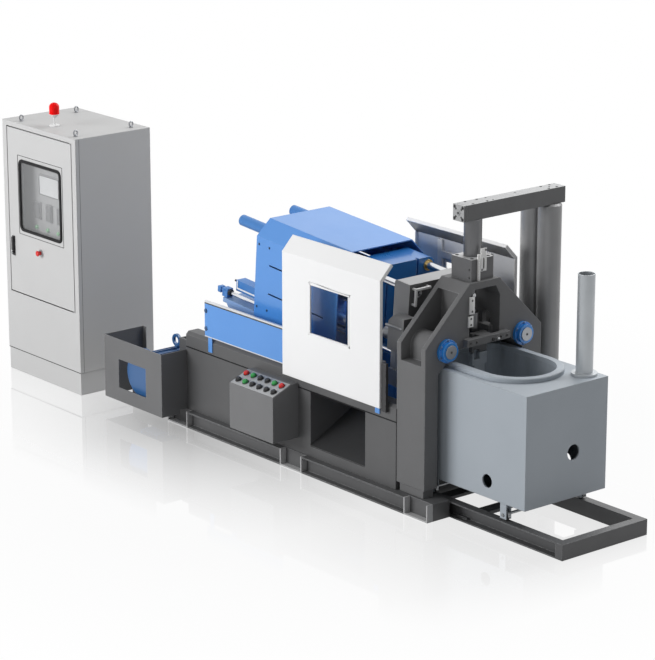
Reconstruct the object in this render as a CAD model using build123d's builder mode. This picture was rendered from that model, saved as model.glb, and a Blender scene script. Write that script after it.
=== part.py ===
from build123d import *
import os
from math import cos, radians, sin, tan

os.makedirs("parts", exist_ok=True)

# Hot-chamber die casting machine with its control cabinet and melting furnace.
# X runs along the machine towards the furnace, Y to the back, Z up from the floor.
# The origin lies on the floor, on the machine's centre plane, at the middle of the base.

# Base frame
base_half_length = 1312.0
base_half_width = 530.0
base_height = 110.0
channel_flange = 55.0
channel_web = 10.0
channel_lip = 10.0
cross_member_width = 60.0
pocket_length = 218.0
pocket_wall = 10.0
pocket_floor_sheet = 8.0

# Bed
bed_left = -1160.0
bed_right = 963.0
bed_half_width = 480.0
bed_top = 545.0
band_width = 100.0
band_height = 100.0
band_bevel = 20.0
seam_size = 5.0
chute_left = 141.0
chute_right = 675.0
chute_sill = 183.0
chute_slope = 29.0
chute_sheet = 8.0
tank_length = 102.0
tank_top = 575.0
tank_half_width = 460.0
tank_wall = 14.0
tank_tray_depth = 30.0

# Clamp unit, tilted so that it drops towards the furnace
clamp_tilt = 4.2
clamp_axis_height = 1126.0
clamp_foot_level = -390.0
foot_left = -890.0
tie_bar_radius = 25.0
tie_bar_half_span_y = 211.0
tie_bar_half_span_v = 220.0
tie_bar_fit = 0.3
rear_platen_left = -577.0
rear_platen_thickness = 90.0
cover_length = 822.0
cover_half_width = 350.0
cover_top_half_width = 247.0
cover_shoulder = 225.0
cover_top = 327.0
cover_bottom = -315.0
cover_sheet = 8.0
end_cover_radius = 37.0
end_cover_length = 322.0
moving_platen_face = 448.0
moving_platen_depth = 210.0
moving_platen_corner = 54.0
bushing_radius = 36.0
bushing_depth = 50.0
bushing_stand_out = 6.0
fixed_platen_face = 701.0
fixed_platen_thickness = 139.0
fixed_platen_half = 285.0

# Injection end
frame_left = 963.0
frame_thickness = 256.0
frame_half_width = 475.0
frame_knee = 1055.0
frame_top = 1404.0
frame_top_half_width = 122.0
frame_flange = 35.0
frame_foot = 165.0
leg_inner = 372.0
arch_half_width = 125.0
arch_top = 1360.0
pull_rod_radius = 42.0
pull_rod_y = 310.0
pull_rod_z = 1022.0
block_length = 182.0
block_half_width = 90.0
block_height = 136.0
shot_cylinder_radius = 56.0
shot_axis_x = 1104.0
manifold_width = 99.0
manifold_height = 101.0
manifold_bottom = 1769.0
manifold_front = -119.0
manifold_back = 721.0
accumulator_radius = 75.0
accumulator_y = 640.0
accumulator_pitch = 152.0
accumulator_base = 250.0
accumulator_bevel = 12.0
plunger_radius = 24.0

# Furnace and its rails
furnace_left = 985.0
furnace_right = 1950.0
furnace_half_width = 332.0
furnace_bottom = 206.0
furnace_top = 912.0
furnace_sheet = 12.0
pot_inner_radius = 235.0
pot_wall = 14.0
pot_rim_radius = 283.0
pot_rim_height = 28.0
pot_depth = 452.0
pot_right_centre = 1515.0
pot_left_end = 1010.0
pot_left_corner = 90.0
pot_bottom_bevel = 8.0
pot_rim_bevel = 6.0
flue_x = 1838.0
flue_y = 242.0
flue_radius = 52.0
flue_wall = 5.0
flue_top = 1536.0
track_left = 975.0
track_end = 2291.0
track_half_width = 350.0
track_flange = 60.0
track_height = 100.0
wheel_radius = 34.7
wheel_lift = 0.3
wheel_width = 20.0
wheel_gap = 5.0
axle_radius = 9.0
axle_running_fit = 0.06

# Sliding doors
front_door_left = -95.0
front_door_right = 848.0
rear_door_left = 18.0
rear_door_right = 954.0
door_face = 515.0
door_depth = 22.0
door_sheet = 4.0
door_bottom = 608.0
door_shoulder = 1412.0
door_lean_rise = 91.0
door_lean_in = 87.0
door_rib_width = 42.0
door_rib_gap = 22.0
door_rib_depth = 14.0

# Motor guard and console
guard_left = -1804.0
guard_right = -1156.0
guard_front = -690.0
guard_back = -365.0
guard_bottom = 85.0
guard_top = 520.0
guard_sheet = 5.0
guard_return = 36.0
guard_notch_gap = 15.0
motor_x = -1450.0
motor_z = 305.0
motor_radius = 128.0
cowl_radius = 174.0
console_left = -424.0
console_right = 20.0
console_front = -686.0
console_bottom = 205.0
console_front_top = 506.0
console_desk_back = -536.0
console_back_top = 568.0

# Control cabinet
cabinet_left = -3013.0
cabinet_width = 886.0
cabinet_front = -666.0
cabinet_depth = 620.0
cabinet_height = 1800.0
cabinet_sheet = 5.0
plinth_height = 158.0
cabinet_door_margin = 48.0
cabinet_door_bottom = 577.0
cabinet_door_head = 35.0
cabinet_door_depth = 20.0
cabinet_door_gap = 8.0
hinge_inset = 6.0

# Derived places
tilt = radians(clamp_tilt)
clamp_u = (cos(tilt), 0, -sin(tilt))
clamp_v = (sin(tilt), 0, cos(tilt))
clamp_frame = Plane(origin=(0, 0, clamp_axis_height), x_dir=clamp_u, z_dir=clamp_v)
clamp_section = Plane(origin=(0, 0, clamp_axis_height), x_dir=(0, 1, 0), z_dir=clamp_u)
band_top = bed_top + band_height
frame_right = frame_left + frame_thickness
block_top = frame_top + block_height
both_sides = (-1, 1)
pocket_places = (pocket_length / 2 - base_half_length, 0, base_half_length - pocket_length / 2)
tie_bar_places = [
    (y * tie_bar_half_span_y, v * tie_bar_half_span_v) for y in both_sides for v in both_sides
]


def save(part, name):
    """Label a finished piece and write it as its own file."""
    part.label = name
    export_step(part, f"parts/{name}.step")


# Base: two channels that open outwards, tied across, with stubs at the furnace end
# and a shelf for the motor at the tail end
web_face = base_half_width - channel_flange + channel_web
stub_left = 975.0
motor_base_left = guard_left + guard_return
motor_base_front = -490.0
motor_base_back = -150.0
with BuildPart() as base_frame:
    with BuildSketch(Plane.YZ.offset(-base_half_length)):
        for side in both_sides:
            with Locations((side * (base_half_width - channel_flange / 2), base_height / 2)):
                Rectangle(channel_flange, base_height)
            with Locations((side * (base_half_width + web_face) / 2, base_height / 2)):
                Rectangle(base_half_width - web_face, base_height - 2 * channel_lip, mode=Mode.SUBTRACT)
    extrude(amount=2 * base_half_length)
    for x in (cross_member_width / 2 - base_half_length, -500, 0, frame_left - cross_member_width / 2):
        with Locations((x, 0, base_height / 2)):
            Box(cross_member_width, 2 * (base_half_width - channel_flange), base_height)
    for side in both_sides:
        stub_width = base_half_width - channel_flange - track_half_width
        with Locations(((stub_left + base_half_length) / 2, side * (track_half_width + stub_width / 2),
                        base_height / 2)):
            Box(base_half_length - stub_left, stub_width, base_height)
    for x in pocket_places:
        for side in both_sides:
            with Locations((x, side * (base_half_width + web_face) / 2, base_height / 2)):
                Box(pocket_length, base_half_width - web_face, base_height, mode=Mode.SUBTRACT)
    with Locations(((motor_base_left - base_half_length) / 2, (motor_base_front + motor_base_back) / 2,
                    base_height / 2)):
        Box(-base_half_length - motor_base_left, motor_base_back - motor_base_front, base_height)
save(base_frame.part, "base_frame")

with BuildPart() as fork_pockets:
    for x in pocket_places:
        for side in both_sides:
            with Locations((x, side * (base_half_width + web_face) / 2, base_height / 2)):
                Box(pocket_length, base_half_width - web_face, base_height)
            with Locations((x, side * (base_half_width + web_face) / 2, base_height / 2 + pocket_floor_sheet)):
                Box(pocket_length - 2 * pocket_wall, base_half_width - web_face, base_height,
                    mode=Mode.SUBTRACT)
save(fork_pockets.part, "fork_pockets")

# Bed: a closed box with the casting chute cut in from the front. On it stand the two
# wedge-shaped ways that tilt the clamp unit
way_inner = 190.0
way_width = 110.0
way_tail = clamp_frame.from_local_coords(Vector(foot_left, 0, clamp_foot_level))
way_head = clamp_frame.from_local_coords(Vector(fixed_platen_face + fixed_platen_thickness, 0, clamp_foot_level))
chute_run = (bed_top - chute_sill) / tan(radians(chute_slope))
chute_drop = chute_sheet / cos(radians(chute_slope))
chute_back = chute_run - bed_half_width
with BuildPart() as bed_body:
    with Locations(((bed_left + bed_right) / 2, 0, (base_height + bed_top) / 2)):
        Box(bed_right - bed_left, 2 * bed_half_width, bed_top - base_height)
    with BuildSketch(Plane.YZ.offset(chute_left)):
        with BuildLine():
            Polyline(
                (-bed_half_width, chute_sill - chute_drop),
                (-bed_half_width, bed_top),
                (chute_back, bed_top),
                (chute_back, bed_top - chute_drop),
                close=True,
            )
        make_face()
    extrude(amount=chute_right - chute_left, mode=Mode.SUBTRACT)
    for side in both_sides:
        with Locations(((bed_left + bed_right) / 2, side * bed_half_width, bed_top)):
            Box(bed_right - bed_left, 2 * seam_size, 2 * seam_size, mode=Mode.SUBTRACT)
save(bed_body.part, "bed_body")

with BuildPart() as clamp_ways:
    for side in both_sides:
        with BuildSketch(Plane.XZ.offset(-side * (way_inner + way_width / 2))):
            with BuildLine():
                Polyline((way_tail.X, bed_top), (way_tail.X, way_tail.Z), (way_head.X, way_head.Z),
                         (way_head.X, bed_top), close=True)
            make_face()
        extrude(amount=way_width / 2, both=True)
save(clamp_ways.part, "clamp_ways")

with BuildPart() as chute_plate:
    with BuildSketch(Plane.YZ.offset(chute_left)):
        with BuildLine():
            Polyline(
                (-bed_half_width, chute_sill - chute_drop),
                (-bed_half_width, chute_sill),
                (chute_back, bed_top),
                (chute_back, bed_top - chute_drop),
                close=True,
            )
        make_face()
    extrude(amount=chute_right - chute_left)
save(chute_plate.part, "chute_plate")

with BuildPart() as bed_bands:
    with BuildSketch(Plane.YZ.offset(bed_left)):
        for side in both_sides:
            with Locations((side * (bed_half_width - band_width / 2), bed_top + band_height / 2)):
                Rectangle(band_width, band_height)
    extrude(amount=bed_right - bed_left)
    for end in (0, -1):
        chamfer(bed_bands.edges().filter_by(Axis.X).group_by(Axis.Z)[-1].sort_by(Axis.Y)[end], band_bevel)
save(bed_bands.part, "bed_bands")

# Oil tank at the bed's tail end, with a tray sunk in its top
with BuildPart() as oil_tank:
    with Locations((bed_left - tank_length / 2, 0, (base_height + tank_top) / 2)):
        Box(tank_length, 2 * tank_half_width, tank_top - base_height)
    with Locations((bed_left - tank_length / 2, 0, tank_top)):
        Box(tank_length - 2 * tank_wall, 2 * (tank_half_width - tank_wall), 2 * tank_tray_depth, mode=Mode.SUBTRACT)
save(oil_tank.part, "oil_tank")

# Pump motor: a finned barrel lying across the machine, with a fan cowl in front, the pump
# behind and a lifting ring on top
motor_front = -650.0
motor_back = -250.0
cowl_depth = 60.0
cowl_bevel = 25.0
fin_height = 12.0
fin_width = 7.0
fin_count = 20
ring_radius = 34.0
ring_wire = 9.0
ring_y = -342.0
ring_stand = 26.0
with BuildPart() as pump_motor:
    with BuildSketch(Plane.XZ.offset(-motor_back)):
        with Locations((motor_x, motor_z)):
            Circle(motor_radius)
            with PolarLocations(motor_radius, fin_count):
                Rectangle(2 * fin_height, fin_width)
        with Locations((motor_x, (base_height + motor_z) / 2 - 40)):
            Rectangle(1.5 * motor_radius, motor_z - base_height - 80)
    extrude(amount=motor_back - motor_front - cowl_depth)
    with BuildSketch(Plane.XZ.offset(-motor_front - cowl_depth)):
        with Locations((motor_x, motor_z)):
            Circle(cowl_radius)
    extrude(amount=cowl_depth)
    chamfer(pump_motor.edges().filter_by(GeomType.CIRCLE).group_by(Axis.Y)[0], cowl_bevel)
    for radius, reach in ((motor_radius * 0.75, 40), (motor_radius * 0.5, 150)):
        with BuildSketch(Plane.XZ.offset(-motor_back)):
            with Locations((motor_x, motor_z)):
                Circle(radius)
        extrude(amount=-reach)
    with Locations((motor_x, ring_y, motor_z + motor_radius + ring_stand / 2)):
        Box(2.5 * ring_wire, 2.5 * ring_wire, ring_stand)
    with BuildSketch(Plane.XZ.offset(-ring_y)):
        with Locations((motor_x, motor_z + motor_radius + ring_stand + ring_radius)):
            Circle(ring_radius + ring_wire)
            Circle(ring_radius - ring_wire, mode=Mode.SUBTRACT)
    extrude(amount=ring_wire, both=True)
save(pump_motor.part, "pump_motor")

# Motor guard: folded sheet, open above and behind, with an inspection window
guard_middle_z = (guard_bottom + guard_top) / 2
guard_height = guard_top - guard_bottom
guard_window_left = -1641.0
guard_window_right = -1334.0
guard_window_bottom = 181.0
guard_window_top = 381.0
with BuildPart() as motor_guard:
    with Locations(((guard_left + guard_right) / 2, guard_front + guard_sheet / 2, guard_middle_z)):
        Box(guard_right - guard_left, guard_sheet, guard_height)
    with Locations((guard_right - guard_sheet / 2, (guard_front - bed_half_width) / 2, guard_middle_z)):
        Box(guard_sheet, -guard_front - bed_half_width, guard_height)
    with Locations((guard_left + guard_sheet / 2, (guard_front + guard_back) / 2, guard_middle_z)):
        Box(guard_sheet, guard_back - guard_front, guard_height)
    with Locations((guard_left + guard_return / 2, guard_back - guard_sheet / 2, guard_middle_z)):
        Box(guard_return, guard_sheet, guard_height)
    with Locations(((guard_window_left + guard_window_right) / 2, guard_front,
                    (guard_window_bottom + guard_window_top) / 2)):
        Box(guard_window_right - guard_window_left, 4 * guard_sheet, guard_window_top - guard_window_bottom,
            mode=Mode.SUBTRACT)
    with Locations((guard_right, -bed_half_width, 0)):
        Box(40, 2 * (base_half_width - bed_half_width + guard_notch_gap), 2 * base_height, mode=Mode.SUBTRACT)
save(motor_guard.part, "motor_guard")

# Console: a sloped desk of push buttons on the front of the bed
with BuildPart() as console_box:
    with BuildSketch(Plane.YZ.offset(console_left)):
        with BuildLine():
            Polyline(
                (console_front, console_bottom),
                (console_front, console_front_top),
                (console_desk_back, console_back_top),
                (-bed_half_width, console_back_top),
                (-bed_half_width, console_bottom),
                close=True,
            )
        make_face()
    extrude(amount=console_right - console_left)
save(console_box.part, "console_box")

desk_rise = console_back_top - console_front_top
desk_run = console_desk_back - console_front
desk_length = (desk_rise ** 2 + desk_run ** 2) ** 0.5
desk_normal = (0, -desk_rise / desk_length, desk_run / desk_length)
desk = Plane(
    origin=((console_left + console_right) / 2, (console_front + console_desk_back) / 2,
            (console_front_top + console_back_top) / 2),
    x_dir=(1, 0, 0),
    z_dir=desk_normal,
)
button_pitch = 72.0
button_row = 72.0
button_radius = 15.0
button_height = 20.0
button_colours = {
    "red_buttons": ((0, 1), (5, 1)),
    "green_buttons": ((1, 1), (4, 1), (1, 0)),
    "black_buttons": ((2, 1), (3, 1), (0, 0), (2, 0), (3, 0), (4, 0), (5, 0)),
}
for colour, places in button_colours.items():
    with BuildPart(desk) as buttons:
        for column, row in places:
            with Locations(((column - 2.5) * button_pitch, (row - 0.5) * button_row)):
                Cylinder(button_radius, button_height, align=(Align.CENTER, Align.CENTER, Align.MIN))
    save(buttons.part, colour)

# Door rails: a blue panel on legs along each side of the bed, with a track on its top edge
panel_left = -945.0
panel_rights = {-1: front_door_right, 1: rear_door_right}
panel_sheet = 8.0
panel_bottom = 660.0
panel_top = 890.0
panel_face = bed_half_width + 6.0
track_bar_height = 12.0
track_bar_outer = panel_face - 2.0
track_bar_width = 18.0
leg_bottom = 560.0
leg_width = 42.0
leg_inset = 55.0
with BuildPart() as rail_panels:
    for side in both_sides:
        panel_right = panel_rights[side]
        with Locations(((panel_left + panel_right) / 2, side * (panel_face - panel_sheet / 2),
                        (panel_bottom + panel_top) / 2)):
            Box(panel_right - panel_left, panel_sheet, panel_top - panel_bottom)
        for x in (panel_left + leg_inset, panel_right - leg_inset):
            with Locations((x, side * (panel_face + bed_half_width) / 2, (leg_bottom + panel_bottom) / 2 + 10)):
                Box(leg_width, panel_face - bed_half_width, panel_bottom - leg_bottom + 20)
save(rail_panels.part, "rail_panels")

with BuildPart() as door_tracks:
    for side in both_sides:
        with Locations(((panel_left + panel_rights[side]) / 2, side * (track_bar_outer - track_bar_width / 2),
                        panel_top + track_bar_height / 2)):
            Box(panel_rights[side] - panel_left, track_bar_width, track_bar_height)
save(door_tracks.part, "door_tracks")

# Stop post beside the front door's closed edge
stop_left = 854.0
stop_right = 894.0
stop_depth = 20.0
with BuildPart() as door_stop:
    with Locations(((stop_left + stop_right) / 2, -panel_face - stop_depth / 2, 745)):
        Box(stop_right - stop_left, stop_depth, 310)
    with Locations(((stop_left + stop_right) / 2, -(panel_face + bed_half_width) / 2, 618)):
        Box(stop_right - stop_left, panel_face - bed_half_width, 56)
save(door_stop.part, "door_stop")


# Sliding doors: a sheet pan that leans in over the top, with a window and two hangers
def door_line(inset, lower, top_share):
    """Section line of the door, moved in from its outer skin by an inset."""
    return [
        (door_face - inset, lower),
        (door_face - inset, door_shoulder - inset * 0.42),
        (door_face - inset * 0.72 - door_lean_in * top_share,
         door_shoulder - inset * 0.69 + door_lean_rise * top_share),
    ]


door_window_left = 277.0
door_window_length = 373.0
door_window_bottom = 937.0
door_window_top = 1253.0
window_pane = 4.0
pane_overlap = 8.0
hanger_length = 60.0
hanger_inset = 110.0
hanger_height = 28.0
hanger_lift = 0.3
hanger_lip = 6.0
hanger_lip_drop = 20.0
hanger_gap = 5.0
hanger_back = track_bar_outer - track_bar_width - hanger_gap - hanger_lip
hanger_bottom = panel_top + track_bar_height + hanger_lift
for side, left, right, name in (
    (-1, front_door_left, front_door_right, "front_door"),
    (1, rear_door_left, rear_door_right, "rear_door"),
):
    outer_line = door_line(0, door_bottom, 1)
    inner_line = door_line(door_depth, door_bottom, 1)
    skin_line = door_line(door_sheet, door_bottom + door_sheet, 0.96)
    hollow_line = door_line(door_depth, door_bottom + door_sheet, 0.96)
    window_x = left + door_window_left + door_window_length / 2
    window_z = (door_window_bottom + door_window_top) / 2
    with BuildPart() as door:
        with BuildSketch(Plane.YZ.offset(left)):
            with BuildLine():
                Polyline(*[(side * y, z) for y, z in outer_line + inner_line[::-1]], close=True)
            make_face()
        extrude(amount=right - left)
        with BuildSketch(Plane.YZ.offset(left + door_sheet)):
            with BuildLine():
                Polyline(*[(side * y, z) for y, z in skin_line + hollow_line[::-1]], close=True)
            make_face()
        extrude(amount=right - left - 2 * door_sheet, mode=Mode.SUBTRACT)
        with Locations((window_x, side * door_face, window_z)):
            Box(door_window_length, 4 * door_sheet, door_window_top - door_window_bottom, mode=Mode.SUBTRACT)
        rib_y = side * (door_face - door_sheet - door_rib_depth / 2)
        rib_offset = door_window_length / 2 + door_rib_gap + door_rib_width / 2
        rib_top = door_shoulder - door_depth
        for x in (window_x - rib_offset, window_x + rib_offset):
            with Locations((x, rib_y, (door_bottom + rib_top) / 2)):
                Box(door_rib_width, door_rib_depth, rib_top - door_bottom)
        with Locations((window_x, rib_y, door_window_top + door_rib_gap + door_rib_width / 2)):
            Box(2 * rib_offset, door_rib_depth, door_rib_width)
        for x in (left + hanger_inset, right - hanger_inset):
            with Locations((x, side * (door_face - door_sheet + hanger_back) / 2, hanger_bottom + hanger_height / 2)):
                Box(hanger_length, door_face - door_sheet - hanger_back, hanger_height)
            with Locations((x, side * (hanger_back + hanger_lip / 2), hanger_bottom - hanger_lip_drop / 2)):
                Box(hanger_length, hanger_lip, hanger_lip_drop + 2)
    save(door.part, name)

    with BuildPart() as pane:
        with Locations((window_x, side * (door_face - door_sheet - window_pane / 2), window_z)):
            Box(door_window_length + 2 * pane_overlap, window_pane,
                door_window_top - door_window_bottom + 2 * pane_overlap)
    save(pane.part, name + "_window")

# Clamp unit: tail platen, sheet cover, tie bars and their end covers
def cover_outline(inset, bottom):
    """The cover's roof section, drawn inside the outer skin by an inset."""
    corner = inset * tan(radians(22.5))
    half = cover_half_width - inset
    top_half = cover_top_half_width - corner
    return [
        (-half, bottom),
        (-half, cover_shoulder - corner),
        (-top_half, cover_top - inset),
        (top_half, cover_top - inset),
        (half, cover_shoulder - corner),
        (half, bottom),
    ]


with BuildPart() as rear_platen:
    with BuildSketch(clamp_section.offset(rear_platen_left)):
        with BuildLine():
            Polyline(*cover_outline(cover_sheet, clamp_foot_level), close=True)
        make_face()
        with Locations(*tie_bar_places):
            Circle(tie_bar_radius + tie_bar_fit, mode=Mode.SUBTRACT)
    extrude(amount=rear_platen_thickness)
save(rear_platen.part, "rear_platen")

slot_left = -440.0
slot_length = 560.0
slot_height = 10.0
slot_levels = (60.0, -131.0)
with BuildPart() as clamp_cover:
    with BuildSketch(clamp_section.offset(rear_platen_left)):
        with BuildLine():
            Polyline(*cover_outline(0, cover_bottom), close=True)
        make_face()
        with BuildLine():
            Polyline(*cover_outline(cover_sheet, cover_bottom), close=True)
        make_face(mode=Mode.SUBTRACT)
    extrude(amount=cover_length)
    for level in slot_levels:
        with BuildSketch(Plane(origin=(0, -cover_half_width, clamp_axis_height), x_dir=clamp_u, z_dir=(0, 1, 0))):
            with Locations((slot_left + slot_length / 2, -level)):
                SlotOverall(slot_length, slot_height)
        extrude(amount=2 * cover_half_width, mode=Mode.SUBTRACT)
save(clamp_cover.part, "clamp_cover")

tie_bar_right = 830.0
with BuildPart() as tie_bars:
    with BuildSketch(clamp_section.offset(rear_platen_left)):
        with Locations(*tie_bar_places):
            Circle(tie_bar_radius)
    extrude(amount=tie_bar_right - rear_platen_left)
save(tie_bars.part, "tie_bars")

with BuildPart() as tie_bar_covers:
    with BuildSketch(clamp_section.offset(rear_platen_left)):
        for y, v in tie_bar_places:
            with Locations((y, v)):
                if v > 0:
                    Circle(end_cover_radius)
                else:
                    Rectangle(2 * end_cover_radius, 2 * end_cover_radius)
    extrude(amount=-end_cover_length)
save(tie_bar_covers.part, "tie_bar_covers")

# Foot under the clamp's tail, with a sloped nose, and the closing cylinder on it
foot_top = -298.0
foot_lip = 40.0
foot_flange = 30.0
foot_inner = 150.0
foot_outer = 330.0
foot_nose = 50.0
with BuildPart() as clamp_foot:
    for side in both_sides:
        with BuildSketch(Plane(origin=(0, side * (foot_inner + foot_outer) / 2, clamp_axis_height),
                               x_dir=clamp_u, z_dir=(0, -1, 0))):
            with BuildLine():
                Polyline(
                    (rear_platen_left, foot_top),
                    (foot_left - foot_lip, foot_top),
                    (foot_left - foot_lip, foot_top - foot_flange),
                    (foot_left, foot_top - foot_flange),
                    (foot_left + foot_nose, clamp_foot_level),
                    (rear_platen_left, clamp_foot_level),
                    close=True,
                )
            make_face()
        extrude(amount=(foot_outer - foot_inner) / 2, both=True)
save(clamp_foot.part, "clamp_foot")

ram_flange = 70.0
ram_radius = 27.0
ram_rod_radius = 14.0
ram_left = -1010.0
ram_right = -870.0
ram_place = (-295.0, foot_top + ram_flange / 2)
with BuildPart() as closing_cylinder:
    for start, length in ((ram_left, 24), (ram_right - 34, 34)):
        with BuildSketch(clamp_section.offset(start)):
            with Locations(ram_place):
                Rectangle(ram_flange, ram_flange)
        extrude(amount=length)
    for start, stop, radius in ((ram_left, ram_right, ram_radius), (ram_right, rear_platen_left, ram_rod_radius)):
        with BuildSketch(clamp_section.offset(start)):
            with Locations(ram_place):
                Circle(radius)
        extrude(amount=stop - start)
save(closing_cylinder.part, "closing_cylinder")

# Moving platen on the tie bars, with grooves in its die face and bushings round the bars
moving_half_y = tie_bar_half_span_y + moving_platen_corner
moving_half_v = tie_bar_half_span_v + moving_platen_corner
groove_y = 123.0
groove_width = 14.0
with BuildPart() as moving_platen:
    with BuildSketch(clamp_section.offset(moving_platen_face - moving_platen_depth)):
        RectangleRounded(2 * moving_half_y, 2 * moving_half_v, moving_platen_corner - 1)
        with Locations(*tie_bar_places):
            Circle(tie_bar_radius + 2, mode=Mode.SUBTRACT)
    extrude(amount=moving_platen_depth)
    with BuildSketch(clamp_section.offset(moving_platen_face - moving_platen_depth)):
        Rectangle(2 * groove_y + 60, 2 * tie_bar_half_span_v - 60)
    extrude(amount=moving_platen_depth - 90, mode=Mode.SUBTRACT)
    with BuildSketch(clamp_section.offset(moving_platen_face - 24)):
        with Locations((-groove_y, 0), (groove_y, 0)):
            Rectangle(groove_width, 2 * moving_half_v)
    extrude(amount=24, mode=Mode.SUBTRACT)
    with BuildSketch(clamp_section.offset(moving_platen_face - bushing_depth)):
        with Locations(*tie_bar_places):
            Circle(bushing_radius)
    extrude(amount=bushing_depth, mode=Mode.SUBTRACT)
save(moving_platen.part, "moving_platen")

with BuildPart() as platen_bushings:
    with BuildSketch(clamp_section.offset(moving_platen_face - bushing_depth)):
        with Locations(*tie_bar_places):
            Circle(bushing_radius)
            Circle(tie_bar_radius + tie_bar_fit, mode=Mode.SUBTRACT)
    extrude(amount=bushing_depth + bushing_stand_out)
save(platen_bushings.part, "platen_bushings")

# Fixed platen: rounded top edge, feet on the ways, lugs round the pull rods, nozzle hole
lug_left = 760.0
lug_right = 900.0
lug_bottom = -130.0
lug_top = 95.0
lug_reach = 372.0
lug_bevel = 40.0
nozzle_radius = 70.0
with BuildPart() as fixed_platen:
    with BuildSketch(clamp_section.offset(fixed_platen_face)):
        Rectangle(2 * fixed_platen_half, 2 * fixed_platen_half)
        for side in both_sides:
            with Locations((side * (way_inner + way_width / 2), (clamp_foot_level - fixed_platen_half) / 2)):
                Rectangle(way_width, -fixed_platen_half - clamp_foot_level)
    extrude(amount=fixed_platen_thickness)
    fillet(fixed_platen.edges().filter_by(Axis.Y).group_by(Axis.Z)[-1], 22)
    for side in both_sides:
        with BuildSketch(Plane(origin=(0, side * (fixed_platen_half + lug_reach) / 2, clamp_axis_height),
                               x_dir=clamp_u, z_dir=(0, -1, 0))):
            with BuildLine():
                Polyline(
                    (lug_left, lug_bottom),
                    (lug_left, lug_top - lug_bevel),
                    (lug_left + lug_bevel, lug_top),
                    (lug_right, lug_top),
                    (lug_right, lug_bottom),
                    close=True,
                )
            make_face()
        extrude(amount=(lug_reach - fixed_platen_half) / 2, both=True)
    with BuildSketch(clamp_section.offset(fixed_platen_face)):
        Circle(nozzle_radius)
        with Locations(*tie_bar_places):
            Circle(tie_bar_radius + tie_bar_fit)
    extrude(amount=fixed_platen_thickness, mode=Mode.SUBTRACT)
    with BuildSketch(Plane.YZ.offset(fixed_platen_face - 100)):
        with Locations((-pull_rod_y, pull_rod_z), (pull_rod_y, pull_rod_z)):
            Circle(pull_rod_radius + tie_bar_fit)
    extrude(amount=fixed_platen_thickness + 250, mode=Mode.SUBTRACT)
save(fixed_platen.part, "fixed_platen")

# Bent hook bar on stand-offs at the fixed platen's back
hook_width = 14.0
hook_foot = fixed_platen_face + fixed_platen_thickness
hook_stand = 22.0
hook_corner_y = -258.0
hook_corner_v = 258.0
hook_arm = 110.0
hook_leg = 100.0
with BuildPart() as hook_bar:
    with BuildSketch(clamp_section.offset(hook_foot + hook_stand)):
        with Locations((hook_corner_y + hook_arm / 2, hook_corner_v)):
            Rectangle(hook_arm + hook_width, hook_width)
        with Locations((hook_corner_y, hook_corner_v - hook_leg / 2)):
            Rectangle(hook_width, hook_leg + hook_width)
    extrude(amount=hook_width)
    with BuildSketch(clamp_section.offset(hook_foot)):
        with Locations((hook_corner_y + hook_arm, hook_corner_v), (hook_corner_y, hook_corner_v),
                       (hook_corner_y, hook_corner_v - hook_leg)):
            Rectangle(hook_width - 2, hook_width - 2)
    extrude(amount=hook_stand)
save(hook_bar.part, "hook_bar")

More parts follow.
